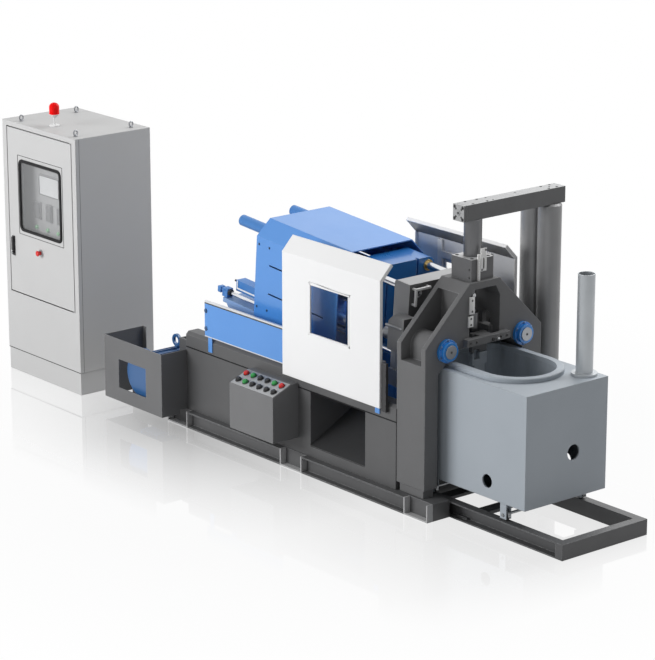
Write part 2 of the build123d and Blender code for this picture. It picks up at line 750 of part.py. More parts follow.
# Injection frame: an arched casting whose shoulders are open pockets between two flanges,
# crossed by the bosses of the pull rods
opening_knee = 885.0
opening_half_top = 215.0
opening_top = 1012.0
arch_bevel_y = 34.0
arch_bevel_z = 63.0
boss_radius = 87.0
pocket_floor = 945.0
wall_window_x = 1100.0
wall_window_width = 70.0
wall_window_bottom = 1090.0
wall_window_top = 1172.0
arch_step = 28.0
arch_step_length = 108.0
arch_step_height = 60.0
pocket_corners = (
    (600, pocket_floor), (600, 1345), (150, 1345), (150, 1040), (232, 1040), (337, pocket_floor),
)
with BuildPart() as injection_frame:
    with BuildSketch(Plane.YZ.offset(frame_left)):
        with BuildLine():
            Polyline(
                (-frame_half_width, frame_foot),
                (-frame_half_width, frame_knee),
                (-frame_top_half_width, frame_top),
                (frame_top_half_width, frame_top),
                (frame_half_width, frame_knee),
                (frame_half_width, frame_foot),
                close=True,
            )
        make_face()
        with BuildLine():
            Polyline(
                (-leg_inner, frame_foot),
                (-leg_inner, opening_knee),
                (-opening_half_top, opening_top),
                (-arch_half_width, opening_top),
                (-arch_half_width, arch_top - arch_bevel_z),
                (-arch_half_width + arch_bevel_y, arch_top),
                (arch_half_width - arch_bevel_y, arch_top),
                (arch_half_width, arch_top - arch_bevel_z),
                (arch_half_width, opening_top),
                (opening_half_top, opening_top),
                (leg_inner, opening_knee),
                (leg_inner, frame_foot),
                close=True,
            )
        make_face(mode=Mode.SUBTRACT)
    extrude(amount=frame_thickness)
    for side in both_sides:
        with BuildSketch(Plane.YZ.offset(frame_left + frame_flange)):
            with BuildLine():
                Polyline(*[(side * y, z) for y, z in pocket_corners], close=True)
            make_face()
        extrude(amount=frame_thickness - 2 * frame_flange, mode=Mode.SUBTRACT)
        with BuildSketch(Plane.YZ.offset(frame_left)):
            with Locations((side * pull_rod_y, pull_rod_z)):
                Circle(boss_radius)
            with Locations((side * pull_rod_y, (pull_rod_z + pocket_floor) / 2)):
                Rectangle(2 * boss_radius, pull_rod_z - pocket_floor)
            with BuildLine():
                Polyline(
                    (side * leg_inner, frame_foot),
                    (side * leg_inner, opening_knee),
                    (side * opening_half_top, opening_top),
                    (side * arch_half_width, opening_top),
                    (side * arch_half_width, frame_foot),
                    close=True,
                )
            make_face(mode=Mode.SUBTRACT)
        extrude(amount=frame_thickness)
        with BuildSketch(Plane.YZ.offset(frame_left)):
            with Locations((side * pull_rod_y, pull_rod_z)):
                Circle(pull_rod_radius + tie_bar_fit)
        extrude(amount=frame_thickness, mode=Mode.SUBTRACT)
        with Locations((frame_left + frame_thickness / 2, side * (leg_inner + frame_half_width) / 2,
                        (base_height + frame_foot) / 2)):
            Box(frame_thickness - 42, frame_half_width - leg_inner - 24, frame_foot - base_height)
    with BuildSketch(Plane.XZ.offset(-arch_half_width)):
        with Locations((wall_window_x, (wall_window_bottom + wall_window_top) / 2)):
            SlotOverall(wall_window_top - wall_window_bottom, wall_window_width, rotation=90)
        with Locations((wall_window_x, (3 * wall_window_bottom + wall_window_top) / 4)):
            Rectangle(wall_window_width, (wall_window_top - wall_window_bottom) / 2)
    extrude(amount=-60, mode=Mode.SUBTRACT)
    with Locations((wall_window_x, arch_half_width - arch_step / 2, wall_window_bottom - arch_step_height / 2)):
        Box(arch_step_length, arch_step, arch_step_height)
save(injection_frame.part, "injection_frame")

pull_rod_left = 680.0
pull_rod_right = 1270.0
with BuildPart() as pull_rods:
    with BuildSketch(Plane.YZ.offset(pull_rod_left)):
        with Locations((-pull_rod_y, pull_rod_z), (pull_rod_y, pull_rod_z)):
            Circle(pull_rod_radius)
    extrude(amount=pull_rod_right - pull_rod_left)
save(pull_rods.part, "pull_rods")

nut_radius = 72.5
nut_flange = 20.0
nut_ring_radius = 59.0
nut_ring = 25.0
with BuildPart() as frame_nuts:
    for start, length, radius in ((0, nut_flange, nut_radius), (nut_flange, nut_ring, nut_ring_radius)):
        with BuildSketch(Plane.YZ.offset(frame_right + start)):
            with Locations((-pull_rod_y, pull_rod_z), (pull_rod_y, pull_rod_z)):
                Circle(radius)
                Circle(pull_rod_radius + tie_bar_fit, mode=Mode.SUBTRACT)
        extrude(amount=length)
save(frame_nuts.part, "frame_nuts")

# Shot cylinder on its block, and the plunger rod hanging into the arch
with BuildPart() as injection_block:
    with Locations((shot_axis_x, 0, frame_top + block_height / 2)):
        Box(block_length, 2 * block_half_width, block_height)
    chamfer(injection_block.edges().filter_by(Axis.Z), 3)
save(injection_block.part, "injection_block")

with BuildPart() as shot_cylinder:
    with Locations((shot_axis_x, 0, block_top)):
        Cylinder(shot_cylinder_radius, manifold_bottom - block_top,
                 align=(Align.CENTER, Align.CENTER, Align.MIN))
save(shot_cylinder.part, "shot_cylinder")

coupling_radius = 44.0
coupling_bottom = 1090.0
coupling_height = 96.0
with BuildPart() as plunger:
    with Locations((shot_axis_x, 0, coupling_bottom)):
        Cylinder(plunger_radius, arch_top - coupling_bottom, align=(Align.CENTER, Align.CENTER, Align.MIN))
        Cylinder(coupling_radius, coupling_height, align=(Align.CENTER, Align.CENTER, Align.MIN))
save(plunger.part, "plunger")

# Oil manifold along the top, standing on the shot cylinder and the accumulators
port_radius = 11.0
cap_thickness = 24.0
cap_groove = 3.0
with BuildPart() as oil_manifold:
    with Locations((shot_axis_x, (manifold_front + manifold_back) / 2, manifold_bottom + manifold_height / 2)):
        Box(manifold_width, manifold_back - manifold_front, manifold_height)
    with BuildSketch(Plane.XZ.offset(-manifold_front - cap_thickness)):
        with Locations((shot_axis_x, manifold_bottom + manifold_height / 2)):
            Rectangle(manifold_width, manifold_height)
            Rectangle(manifold_width - 2 * cap_groove, manifold_height - 2 * cap_groove, mode=Mode.SUBTRACT)
    extrude(amount=-cap_groove, mode=Mode.SUBTRACT)
    with BuildSketch(Plane.XZ.offset(-manifold_front)):
        with Locations((shot_axis_x, manifold_bottom + manifold_height / 2)):
            Circle(port_radius)
    extrude(amount=-40, mode=Mode.SUBTRACT)
save(oil_manifold.part, "oil_manifold")

with BuildPart() as accumulators:
    for x, top in ((shot_axis_x, manifold_bottom), (shot_axis_x - accumulator_pitch, manifold_bottom - 20)):
        with Locations((x, accumulator_y, accumulator_base)):
            Cylinder(accumulator_radius, top - accumulator_base, align=(Align.CENTER, Align.CENTER, Align.MIN))
    chamfer(accumulators.edges().filter_by(GeomType.CIRCLE).filter_by(
        lambda edge: edge.center().Z > manifold_bottom / 2), accumulator_bevel)
save(accumulators.part, "accumulators")

shelf_sheet = 16.0
with BuildPart() as accumulator_shelf:
    with Locations((shot_axis_x - accumulator_pitch / 2, (bed_half_width + accumulator_y + 80) / 2,
                    accumulator_base - shelf_sheet / 2)):
        Box(accumulator_pitch + 170, accumulator_y + 80 - bed_half_width, shelf_sheet)
    for x in (shot_axis_x - accumulator_pitch - 70, shot_axis_x + 60):
        with BuildSketch(Plane.YZ.offset(x)):
            with BuildLine():
                Polyline(
                    (bed_half_width, accumulator_base - shelf_sheet),
                    (accumulator_y + 60, accumulator_base - shelf_sheet),
                    (bed_half_width, accumulator_base - shelf_sheet - 110),
                    close=True,
                )
            make_face()
        extrude(amount=12)
save(accumulator_shelf.part, "accumulator_shelf")

# Clamp bar across the arch on two spacers, with the gooseneck yoke behind it
bar_half_width = 174.0
bar_left = 1230.0
bar_right = 1262.0
bar_bottom = 1023.0
bar_top = 1070.0
yoke_left = 1148.0
yoke_right = 1180.0
yoke_half_width = 59.0
yoke_arm = 14.0
yoke_bottom = 951.0
yoke_slot = 17.0
with BuildPart() as clamp_bar:
    with Locations(((bar_left + bar_right) / 2, 0, (bar_bottom + bar_top) / 2)):
        Box(bar_right - bar_left, 2 * bar_half_width, bar_top - bar_bottom)
    for side in both_sides:
        with Locations(((frame_right + bar_left) / 2, side * (bar_half_width + 116) / 2, (opening_top + bar_top) / 2)):
            Box(bar_left - frame_right, bar_half_width - 116, bar_top - opening_top)
    with BuildSketch(Plane.YZ.offset(yoke_left)):
        with Locations((0, (yoke_bottom + bar_top) / 2)):
            Rectangle(2 * yoke_half_width, bar_top - yoke_bottom)
        with Locations((-yoke_half_width / 2 + yoke_arm / 2, yoke_bottom)):
            Rectangle(yoke_half_width - yoke_arm, 2 * yoke_slot, mode=Mode.SUBTRACT)
    extrude(amount=yoke_right - yoke_left)
    with Locations(((yoke_right + bar_left) / 2, 0, (bar_bottom + bar_top) / 2)):
        Box(bar_left - yoke_right, 2 * (yoke_half_width - yoke_arm), bar_top - bar_bottom)
save(clamp_bar.part, "clamp_bar")

# Stroke scale on the block's side and limit switches beside the arch
block_face = shot_axis_x + block_length / 2
scale_depth = 12.0
scale_width = 25.0
scale_height = 166.0
scale_y = -35.5
reader_depth = 8.0
reader_width = 45.0
reader_height = 142.0
reader_y = 3.5
reader_rise = 127.0
reader_slot_width = 13.0
reader_slot_height = 70.0
reader_slot_drop = 21.0
switch_width = 60.0
upper_switch_height = 110.0
upper_switch_inset = 15.0
upper_switch_drop = 134.0
lower_switch_height = 70.0
lower_switch_inset = 7.0
lower_switch_drop = 234.0
with BuildPart() as stroke_sensors:
    with Locations((block_face + scale_depth / 2, scale_y, frame_top + scale_height / 2)):
        Box(scale_depth, scale_width, scale_height)
    with Locations((block_face + reader_depth / 2, reader_y, frame_top + reader_rise)):
        Box(reader_depth, reader_width, reader_height)
    with Locations((block_face + reader_depth / 2, reader_y, frame_top + reader_rise - reader_slot_drop)):
        Box(reader_depth, reader_slot_width, reader_slot_height, mode=Mode.SUBTRACT)
    with Locations((frame_right + scale_depth / 2, upper_switch_inset - arch_half_width, frame_top - upper_switch_drop)):
        Box(scale_depth, switch_width, upper_switch_height)
    with Locations((frame_right + scale_depth / 2, lower_switch_inset - arch_half_width, frame_top - lower_switch_drop)):
        Box(scale_depth, switch_width, lower_switch_height)
save(stroke_sensors.part, "stroke_sensors")

# Furnace rails: channels that open outwards, tied across, with an end bar
track_web = 8.0
end_bar = 60.0
track_tie_insets = (65.0, 415.0)
track_tie_width = 90.0
track_tie_height = 20.0
with BuildPart() as furnace_rails:
    with BuildSketch(Plane.YZ.offset(track_left)):
        for side in both_sides:
            with Locations((side * (track_half_width - track_flange / 2), track_height / 2)):
                Rectangle(track_flange, track_height)
            with Locations((side * (track_half_width - (track_flange - track_web) / 2), track_height / 2)):
                Rectangle(track_flange - track_web, track_height - 2 * track_web, mode=Mode.SUBTRACT)
    extrude(amount=track_end - track_left)
    with Locations((track_end - end_bar / 2, 0, track_height / 2)):
        Box(end_bar, 2 * track_half_width, track_height)
    for inset in track_tie_insets:
        with Locations((track_left + inset, 0, track_tie_height / 2)):
            Box(track_tie_width, 2 * track_half_width - track_flange, track_tie_height)
save(furnace_rails.part, "furnace_rails")


# Furnace: a sheet box round an oval melting pot, with a flue, burner and drain holes
def pot_outline(radius):
    """Oval drawn round the pot: a half circle at the open end, rounded corners at the machine."""
    grow = radius - pot_inner_radius
    left = pot_left_end + pot_wall + 24 - grow
    with Locations(((left + pot_right_centre) / 2, 0)):
        Rectangle(pot_right_centre - left, 2 * radius)
    corners = vertices().group_by(Axis.X)[0]
    fillet(corners, pot_left_corner + grow)
    with Locations((pot_right_centre, 0)):
        Circle(radius)


burner_hole_radius = 49.0
burner_hole_y = 57.0
burner_hole_z = 492.0
drain_hole_radius = 42.0
drain_hole_x = 1622.0
drain_hole_z = 310.0
pot_fit = 1.0
with BuildPart() as furnace_shell:
    with Locations(((furnace_left + furnace_right) / 2, 0, (furnace_bottom + furnace_top) / 2)):
        Box(furnace_right - furnace_left, 2 * furnace_half_width, furnace_top - furnace_bottom)
        Box(furnace_right - furnace_left - 2 * furnace_sheet, 2 * (furnace_half_width - furnace_sheet),
            furnace_top - furnace_bottom - 2 * furnace_sheet, mode=Mode.SUBTRACT)
    with BuildSketch(Plane.XY.offset(furnace_top)):
        pot_outline(pot_inner_radius + pot_wall + pot_fit)
    extrude(amount=-furnace_sheet, mode=Mode.SUBTRACT)
    with BuildSketch(Plane.YZ.offset(furnace_right - furnace_sheet)):
        with Locations((burner_hole_y, burner_hole_z)):
            Circle(burner_hole_radius)
    extrude(amount=furnace_sheet, mode=Mode.SUBTRACT)
    with BuildSketch(Plane.XZ.offset(-furnace_half_width)):
        with Locations((drain_hole_x, drain_hole_z)):
            Circle(drain_hole_radius)
    extrude(amount=2 * furnace_half_width, mode=Mode.SUBTRACT)
    with BuildSketch(Plane.XY.offset(furnace_top - furnace_sheet)):
        with Locations((flue_x, flue_y)):
            Circle(flue_radius - flue_wall)
    extrude(amount=furnace_sheet, mode=Mode.SUBTRACT)
save(furnace_shell.part, "furnace_shell")

pot_floor_top = furnace_top - pot_depth + pot_wall
with BuildPart() as pot_floor:
    with BuildSketch(Plane.XY.offset(pot_floor_top)):
        pot_outline(pot_inner_radius + pot_wall)
    extrude(amount=-pot_wall)
    chamfer(pot_floor.faces().sort_by(Axis.Z)[0].edges(), pot_bottom_bevel)
save(pot_floor.part, "pot_floor")

with BuildPart() as melting_pot:
    with BuildSketch(Plane.XY.offset(pot_floor_top)):
        pot_outline(pot_inner_radius + pot_wall)
    extrude(amount=furnace_top - pot_floor_top)
    with BuildSketch(Plane.XY.offset(pot_floor_top)):
        pot_outline(pot_inner_radius)
    extrude(amount=furnace_top - pot_floor_top, mode=Mode.SUBTRACT)
save(melting_pot.part, "melting_pot")

with BuildPart() as pot_rim:
    with BuildSketch(Plane.XY.offset(furnace_top)):
        pot_outline(pot_rim_radius)
    extrude(amount=pot_rim_height)
    chamfer(pot_rim.faces().sort_by(Axis.Z)[-1].edges(), pot_rim_bevel)
    with BuildSketch(Plane.XY.offset(furnace_top)):
        pot_outline(pot_inner_radius)
    extrude(amount=pot_rim_height, mode=Mode.SUBTRACT)
save(pot_rim.part, "pot_rim")

# Gooseneck standing in the pot, its fork just under the yoke
gooseneck_gap = 6.0
gooseneck_shoulder = 868.0
gooseneck_slot = 903.0
gooseneck_stem = 42.0
with BuildPart() as gooseneck:
    with BuildSketch(Plane.YZ.offset(yoke_left)):
        with Locations((0, (gooseneck_shoulder + yoke_bottom - gooseneck_gap) / 2)):
            Rectangle(2 * yoke_half_width, yoke_bottom - gooseneck_gap - gooseneck_shoulder)
        with Locations((-yoke_half_width / 2 + yoke_arm / 2, yoke_bottom)):
            Rectangle(yoke_half_width - yoke_arm, 2 * (yoke_bottom - gooseneck_slot), mode=Mode.SUBTRACT)
        with Locations((0, (pot_floor_top + gooseneck_shoulder) / 2)):
            Rectangle(2 * gooseneck_stem, gooseneck_shoulder - pot_floor_top)
    extrude(amount=yoke_right - yoke_left)
save(gooseneck.part, "gooseneck")

flue_flange_radius = 79.0
with BuildPart() as flue:
    with Locations((flue_x, flue_y, furnace_top)):
        Cylinder(flue_radius, flue_top - furnace_top, align=(Align.CENTER, Align.CENTER, Align.MIN))
        Cylinder(flue_flange_radius, 16, align=(Align.CENTER, Align.CENTER, Align.MIN))
        Cylinder(flue_radius - flue_wall, flue_top - furnace_top, align=(Align.CENTER, Align.CENTER, Align.MIN),
                 mode=Mode.SUBTRACT)
save(flue.part, "flue")

axle_height = track_height + wheel_lift + wheel_radius
wheel_places = (1120.0, 1766.0)
fork_plate = 6.0
wheel_y = furnace_half_width - fork_plate - wheel_gap - wheel_width / 2
fork_width = 53.0
fork_bottom = 111.0
with BuildPart() as wheel_forks:
    for x in wheel_places:
        for side in both_sides:
            for offset_y in (-wheel_width / 2 - wheel_gap - fork_plate / 2, wheel_width / 2 + wheel_gap + fork_plate / 2):
                with Locations((x, side * wheel_y + offset_y, (fork_bottom + furnace_bottom) / 2)):
                    Box(fork_width, fork_plate, furnace_bottom - fork_bottom)
                with Locations(Location((x, side * wheel_y + offset_y, axle_height), (90, 0, 0))):
                    Cylinder(axle_radius + axle_running_fit, 2 * fork_plate, mode=Mode.SUBTRACT)
save(wheel_forks.part, "wheel_forks")

for x, name in zip(wheel_places, ("inner_wheels", "outer_wheels")):
    with BuildPart() as wheels:
        with Locations(Location((x, 0, axle_height), (90, 0, 0))):
            Cylinder(axle_radius, 2 * (wheel_y + wheel_width / 2 + wheel_gap + fork_plate + 6))
        with Locations(Location((x, -wheel_y, axle_height), (90, 0, 0)),
                       Location((x, wheel_y, axle_height), (90, 0, 0))):
            Cylinder(wheel_radius, wheel_width)
    save(wheels.part, name)

# Control cabinet: sheet shell with a plinth, a hinged front door and an instrument panel inside
cabinet_door_top = cabinet_height - cabinet_door_head
cabinet_right = cabinet_left + cabinet_width
cabinet_back = cabinet_front + cabinet_depth
cabinet_centre_x = (cabinet_left + cabinet_right) / 2
cabinet_centre_y = (cabinet_front + cabinet_back) / 2
door_left = cabinet_left + cabinet_door_margin
door_right = cabinet_right - cabinet_door_margin
hinge_x = door_right - cabinet_door_gap - hinge_inset
hinge_y = cabinet_front + hinge_inset
pin_radius = 3.0
plinth_inset = 4.0
with BuildPart() as cabinet_shell:
    with Locations((cabinet_centre_x, cabinet_centre_y, (plinth_height + cabinet_height) / 2)):
        Box(cabinet_width, cabinet_depth, cabinet_height - plinth_height)
        Box(cabinet_width - 2 * cabinet_sheet, cabinet_depth - 2 * cabinet_sheet,
            cabinet_height - plinth_height - 2 * cabinet_sheet, mode=Mode.SUBTRACT)
    with Locations(((door_left + door_right) / 2, cabinet_front, (cabinet_door_bottom + cabinet_door_top) / 2)):
        Box(door_right - door_left, 4 * cabinet_sheet, cabinet_door_top - cabinet_door_bottom, mode=Mode.SUBTRACT)
    with Locations((cabinet_centre_x, cabinet_centre_y, plinth_height / 2)):
        Box(cabinet_width - 2 * plinth_inset, cabinet_depth - 2 * plinth_inset, plinth_height)
    for z in (cabinet_door_bottom, cabinet_door_top):
        with Locations((hinge_x, hinge_y, z)):
            Cylinder(pin_radius, 2 * (cabinet_door_gap + 6))
            Box(24, 10, 6)
save(cabinet_shell.part, "cabinet_shell")

cabinet_window_inset = 161.0
cabinet_window_width = 478.0
cabinet_window_height = 476.0
cabinet_window_drop = 232.0
cabinet_window_left = door_left + cabinet_window_inset
cabinet_window_right = cabinet_window_left + cabinet_window_width
cabinet_window_top = cabinet_door_top - cabinet_window_drop
cabinet_window_bottom = cabinet_window_top - cabinet_window_height
door_low = cabinet_door_bottom + cabinet_door_gap
door_high = cabinet_door_top - cabinet_door_gap
with BuildPart() as cabinet_door:
    with Locations(((door_left + door_right) / 2, cabinet_front + cabinet_door_depth / 2, (door_low + door_high) / 2)):
        Box(door_right - door_left - 2 * cabinet_door_gap, cabinet_door_depth, door_high - door_low)
    with Locations(((cabinet_window_left + cabinet_window_right) / 2, cabinet_front,
                    (cabinet_window_bottom + cabinet_window_top) / 2)):
        Box(cabinet_window_right - cabinet_window_left, 4 * cabinet_door_depth,
            cabinet_window_top - cabinet_window_bottom, mode=Mode.SUBTRACT)
    for z in (door_low, door_high):
        with Locations((hinge_x, hinge_y, z)):
            Cylinder(pin_radius + axle_running_fit, 16, mode=Mode.SUBTRACT)
save(cabinet_door.part, "cabinet_door")

cabinet_pane = 5.0
with BuildPart() as cabinet_door_window:
    with Locations(((cabinet_window_left + cabinet_window_right) / 2, cabinet_front + 8,
                    (cabinet_window_bottom + cabinet_window_top) / 2)):
        Box(cabinet_window_right - cabinet_window_left, cabinet_pane, cabinet_window_top - cabinet_window_bottom)
save(cabinet_door_window.part, "cabinet_door_window")

handle_inset = 55.0
handle_rise = 337.0
handle_plate_width = 28.0
handle_plate_height = 140.0
handle_plate_depth = 6.0
handle_grip_width = 18.0
handle_grip_height = 96.0
handle_grip_depth = 14.0
handle_lock_radius = 11.0
handle_lock_drop = 48.0
handle_x = door_left + handle_inset
handle_z = cabinet_door_bottom + handle_rise
with BuildPart() as cabinet_handle:
    with Locations((handle_x, cabinet_front - handle_plate_depth / 2, handle_z)):
        Box(handle_plate_width, handle_plate_depth, handle_plate_height)
    grip_z = handle_z + (handle_plate_height - handle_grip_height) / 2 - handle_plate_depth
    with Locations((handle_x, cabinet_front - handle_plate_depth - handle_grip_depth / 2 + 1, grip_z)):
        Box(handle_grip_width, handle_grip_depth, handle_grip_height)
    lock_depth = handle_plate_depth + handle_grip_depth - 2
    with Locations(Location((handle_x, cabinet_front - 2 - lock_depth / 2, handle_z - handle_lock_drop), (90, 0, 0))):
        Cylinder(handle_lock_radius, lock_depth)
save(cabinet_handle.part, "cabinet_handle")

panel_setback = 106.0
panel_height = 640.0
panel_thickness = 4.0
panel_rise = 5.0
gauge_depth = 14.0
screen_width = 246.0
screen_height = 148.0
screen_rise = 80.0
screen_offset = -25.0
meter_width = 68.0
meter_height = 124.0
meter_drop = 113.0
meter_pitch = 136.0
meter_offset = -44.0
panel_y = cabinet_front + panel_setback
panel_z = (cabinet_window_bottom + cabinet_window_top) / 2
window_centre_x = (cabinet_window_left + cabinet_window_right) / 2
with BuildPart() as instrument_panel:
    with Locations((cabinet_centre_x, panel_y + panel_thickness / 2, panel_z + panel_rise)):
        Box(cabinet_width - 2 * cabinet_sheet, panel_thickness, panel_height)
    with Locations((window_centre_x + screen_offset, panel_y - gauge_depth / 2, panel_z + screen_rise)):
        Box(screen_width, gauge_depth, screen_height)
    for step in (-1, 0, 1):
        with Locations((window_centre_x + meter_offset + step * meter_pitch, panel_y - gauge_depth / 2, panel_z - meter_drop)):
            Box(meter_width, gauge_depth, meter_height)
save(instrument_panel.part, "instrument_panel")

eye_inset_x = 150.0
eye_inset_y = 60.0
eye_radius = 20.0
eye_hole_radius = 10.0
eye_thickness = 10.0
eye_foot = 26.0
eye_foot_height = 8.0
eye_rise = eye_foot_height + eye_radius - 2
with BuildPart() as lifting_eyes:
    for x in (cabinet_left + eye_inset_x, cabinet_right - eye_inset_x + 70):
        for y in (cabinet_front + eye_inset_y, cabinet_back - eye_inset_y - 40):
            with Locations((x, y, cabinet_height)):
                Box(eye_foot, eye_foot, eye_foot_height, align=(Align.CENTER, Align.CENTER, Align.MIN))
            with BuildSketch(Plane.YZ.offset(x)):
                with Locations((y, cabinet_height + eye_rise)):
                    Circle(eye_radius)
                    Circle(eye_hole_radius, mode=Mode.SUBTRACT)
            extrude(amount=eye_thickness / 2, both=True)
save(lifting_eyes.part, "lifting_eyes")

beacon_x = -2581.0
beacon_y = -522.0
with BuildPart() as beacon_base:
    with BuildSketch(Plane.XZ.offset(-beacon_y)):
        with BuildLine():
            Polyline(
                (beacon_x, cabinet_height),
                (beacon_x + 34, cabinet_height),
                (beacon_x + 16, cabinet_height + 18),
                (beacon_x + 16, cabinet_height + 52),
                (beacon_x + 31, cabinet_height + 60),
                (beacon_x + 31, cabinet_height + 84),
                (beacon_x, cabinet_height + 84),
                close=True,
            )
        make_face()
    revolve(axis=Axis((beacon_x, beacon_y, 0), (0, 0, 1)))
save(beacon_base.part, "beacon_base")

with BuildPart() as beacon_lamp:
    with Locations((beacon_x, beacon_y, cabinet_height + 84)):
        Cylinder(29, 80, align=(Align.CENTER, Align.CENTER, Align.MIN))
    chamfer(beacon_lamp.edges().filter_by(GeomType.CIRCLE).group_by(Axis.Z)[-1], 14)
save(beacon_lamp.part, "beacon_lamp")
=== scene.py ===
import math

import bpy
from bpy.props import FloatProperty, FloatVectorProperty, PointerProperty
from mathutils import Matrix, Vector


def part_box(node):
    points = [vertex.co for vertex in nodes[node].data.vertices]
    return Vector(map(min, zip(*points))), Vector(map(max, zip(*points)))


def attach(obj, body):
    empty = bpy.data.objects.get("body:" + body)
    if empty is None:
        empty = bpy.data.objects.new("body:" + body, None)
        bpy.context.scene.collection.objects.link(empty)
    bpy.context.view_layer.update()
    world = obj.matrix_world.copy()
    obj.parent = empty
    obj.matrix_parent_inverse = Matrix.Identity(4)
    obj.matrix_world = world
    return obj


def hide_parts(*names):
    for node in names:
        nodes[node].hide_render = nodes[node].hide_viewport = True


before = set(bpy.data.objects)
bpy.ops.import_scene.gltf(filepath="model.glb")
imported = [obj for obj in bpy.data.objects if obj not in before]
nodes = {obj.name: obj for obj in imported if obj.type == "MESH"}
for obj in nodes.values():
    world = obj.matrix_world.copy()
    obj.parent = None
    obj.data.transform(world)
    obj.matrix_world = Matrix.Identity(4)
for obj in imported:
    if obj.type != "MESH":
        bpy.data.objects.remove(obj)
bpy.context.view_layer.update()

bl_info = {
    "name": "Die casting machine looks",
    "version": (1, 0, 0),
    "blender": (4, 5, 0),
    "location": "View3D > Sidebar > Casting",
    "description": "Finishes and small fittings for a hot-chamber die casting machine",
    "category": "Object",
}


# Settings that a user would change
def paint_property(name, colour, words):
    """A colour setting with its default."""
    return FloatVectorProperty(name=name, description=words, subtype="COLOR", size=3, min=0.0, max=1.0,
                               default=colour)


class CastingPaints(bpy.types.PropertyGroup):
    """Colours of the machine's finishes."""

    blue: paint_property("Machine blue", (0.070, 0.27, 0.69), "Paint of the clamp unit and the rail panels")
    bed: paint_property("Bed grey", (0.125, 0.126, 0.129), "Paint of the bed, the guard and the base")
    casting: paint_property("Casting grey", (0.15, 0.151, 0.154), "Paint of the injection frame")
    door: paint_property("Door white", (0.87, 0.872, 0.875), "Paint of the sliding doors")
    furnace: paint_property("Furnace grey", (0.39, 0.432, 0.475), "Paint of the furnace")
    cabinet: paint_property("Cabinet grey", (0.51, 0.511, 0.511), "Paint of the control cabinet")
    # Colour of the fixed platen's top and front faces, lighter than its other faces: machined faces and
    # painted light.
    platen: paint_property("Platen grey", (0.42, 0.421, 0.425), "Paint of the fixed platen")
    rail: paint_property("Rail grey", (0.080, 0.081, 0.084), "Paint of the furnace rails")


class CastingSizes(bpy.types.PropertyGroup):
    """Sizes of the small fittings."""

    gasket: FloatProperty(name="Gasket width", description="Width of the rubber round the cabinet's window",
                          default=0.018, min=0.005, max=0.06, unit="LENGTH")
    trim: FloatProperty(name="Trim width", description="Width of the door windows' frames", default=0.012,
                        min=0.004, max=0.04, unit="LENGTH")


def paints():
    return bpy.context.scene.casting_paints


def sizes():
    return bpy.context.scene.casting_sizes


# Shader maths
def arithmetic(operation, swapped=False):
    """An operator of Socket that adds a Math node."""
    def method(self, other):
        first, second = (other, self) if swapped else (self, other)
        return self.finish.node("ShaderNodeMath", {"operation": operation}, {0: first, 1: second})
    return method


class Socket:
    """A node's output that can be used in arithmetic."""

    def __init__(self, finish, output):
        self.finish = finish
        self.output = output

    __add__, __radd__ = arithmetic("ADD"), arithmetic("ADD", True)
    __sub__, __rsub__ = arithmetic("SUBTRACT"), arithmetic("SUBTRACT", True)
    __mul__, __rmul__ = arithmetic("MULTIPLY"), arithmetic("MULTIPLY", True)
    __gt__, __lt__ = arithmetic("GREATER_THAN"), arithmetic("LESS_THAN")


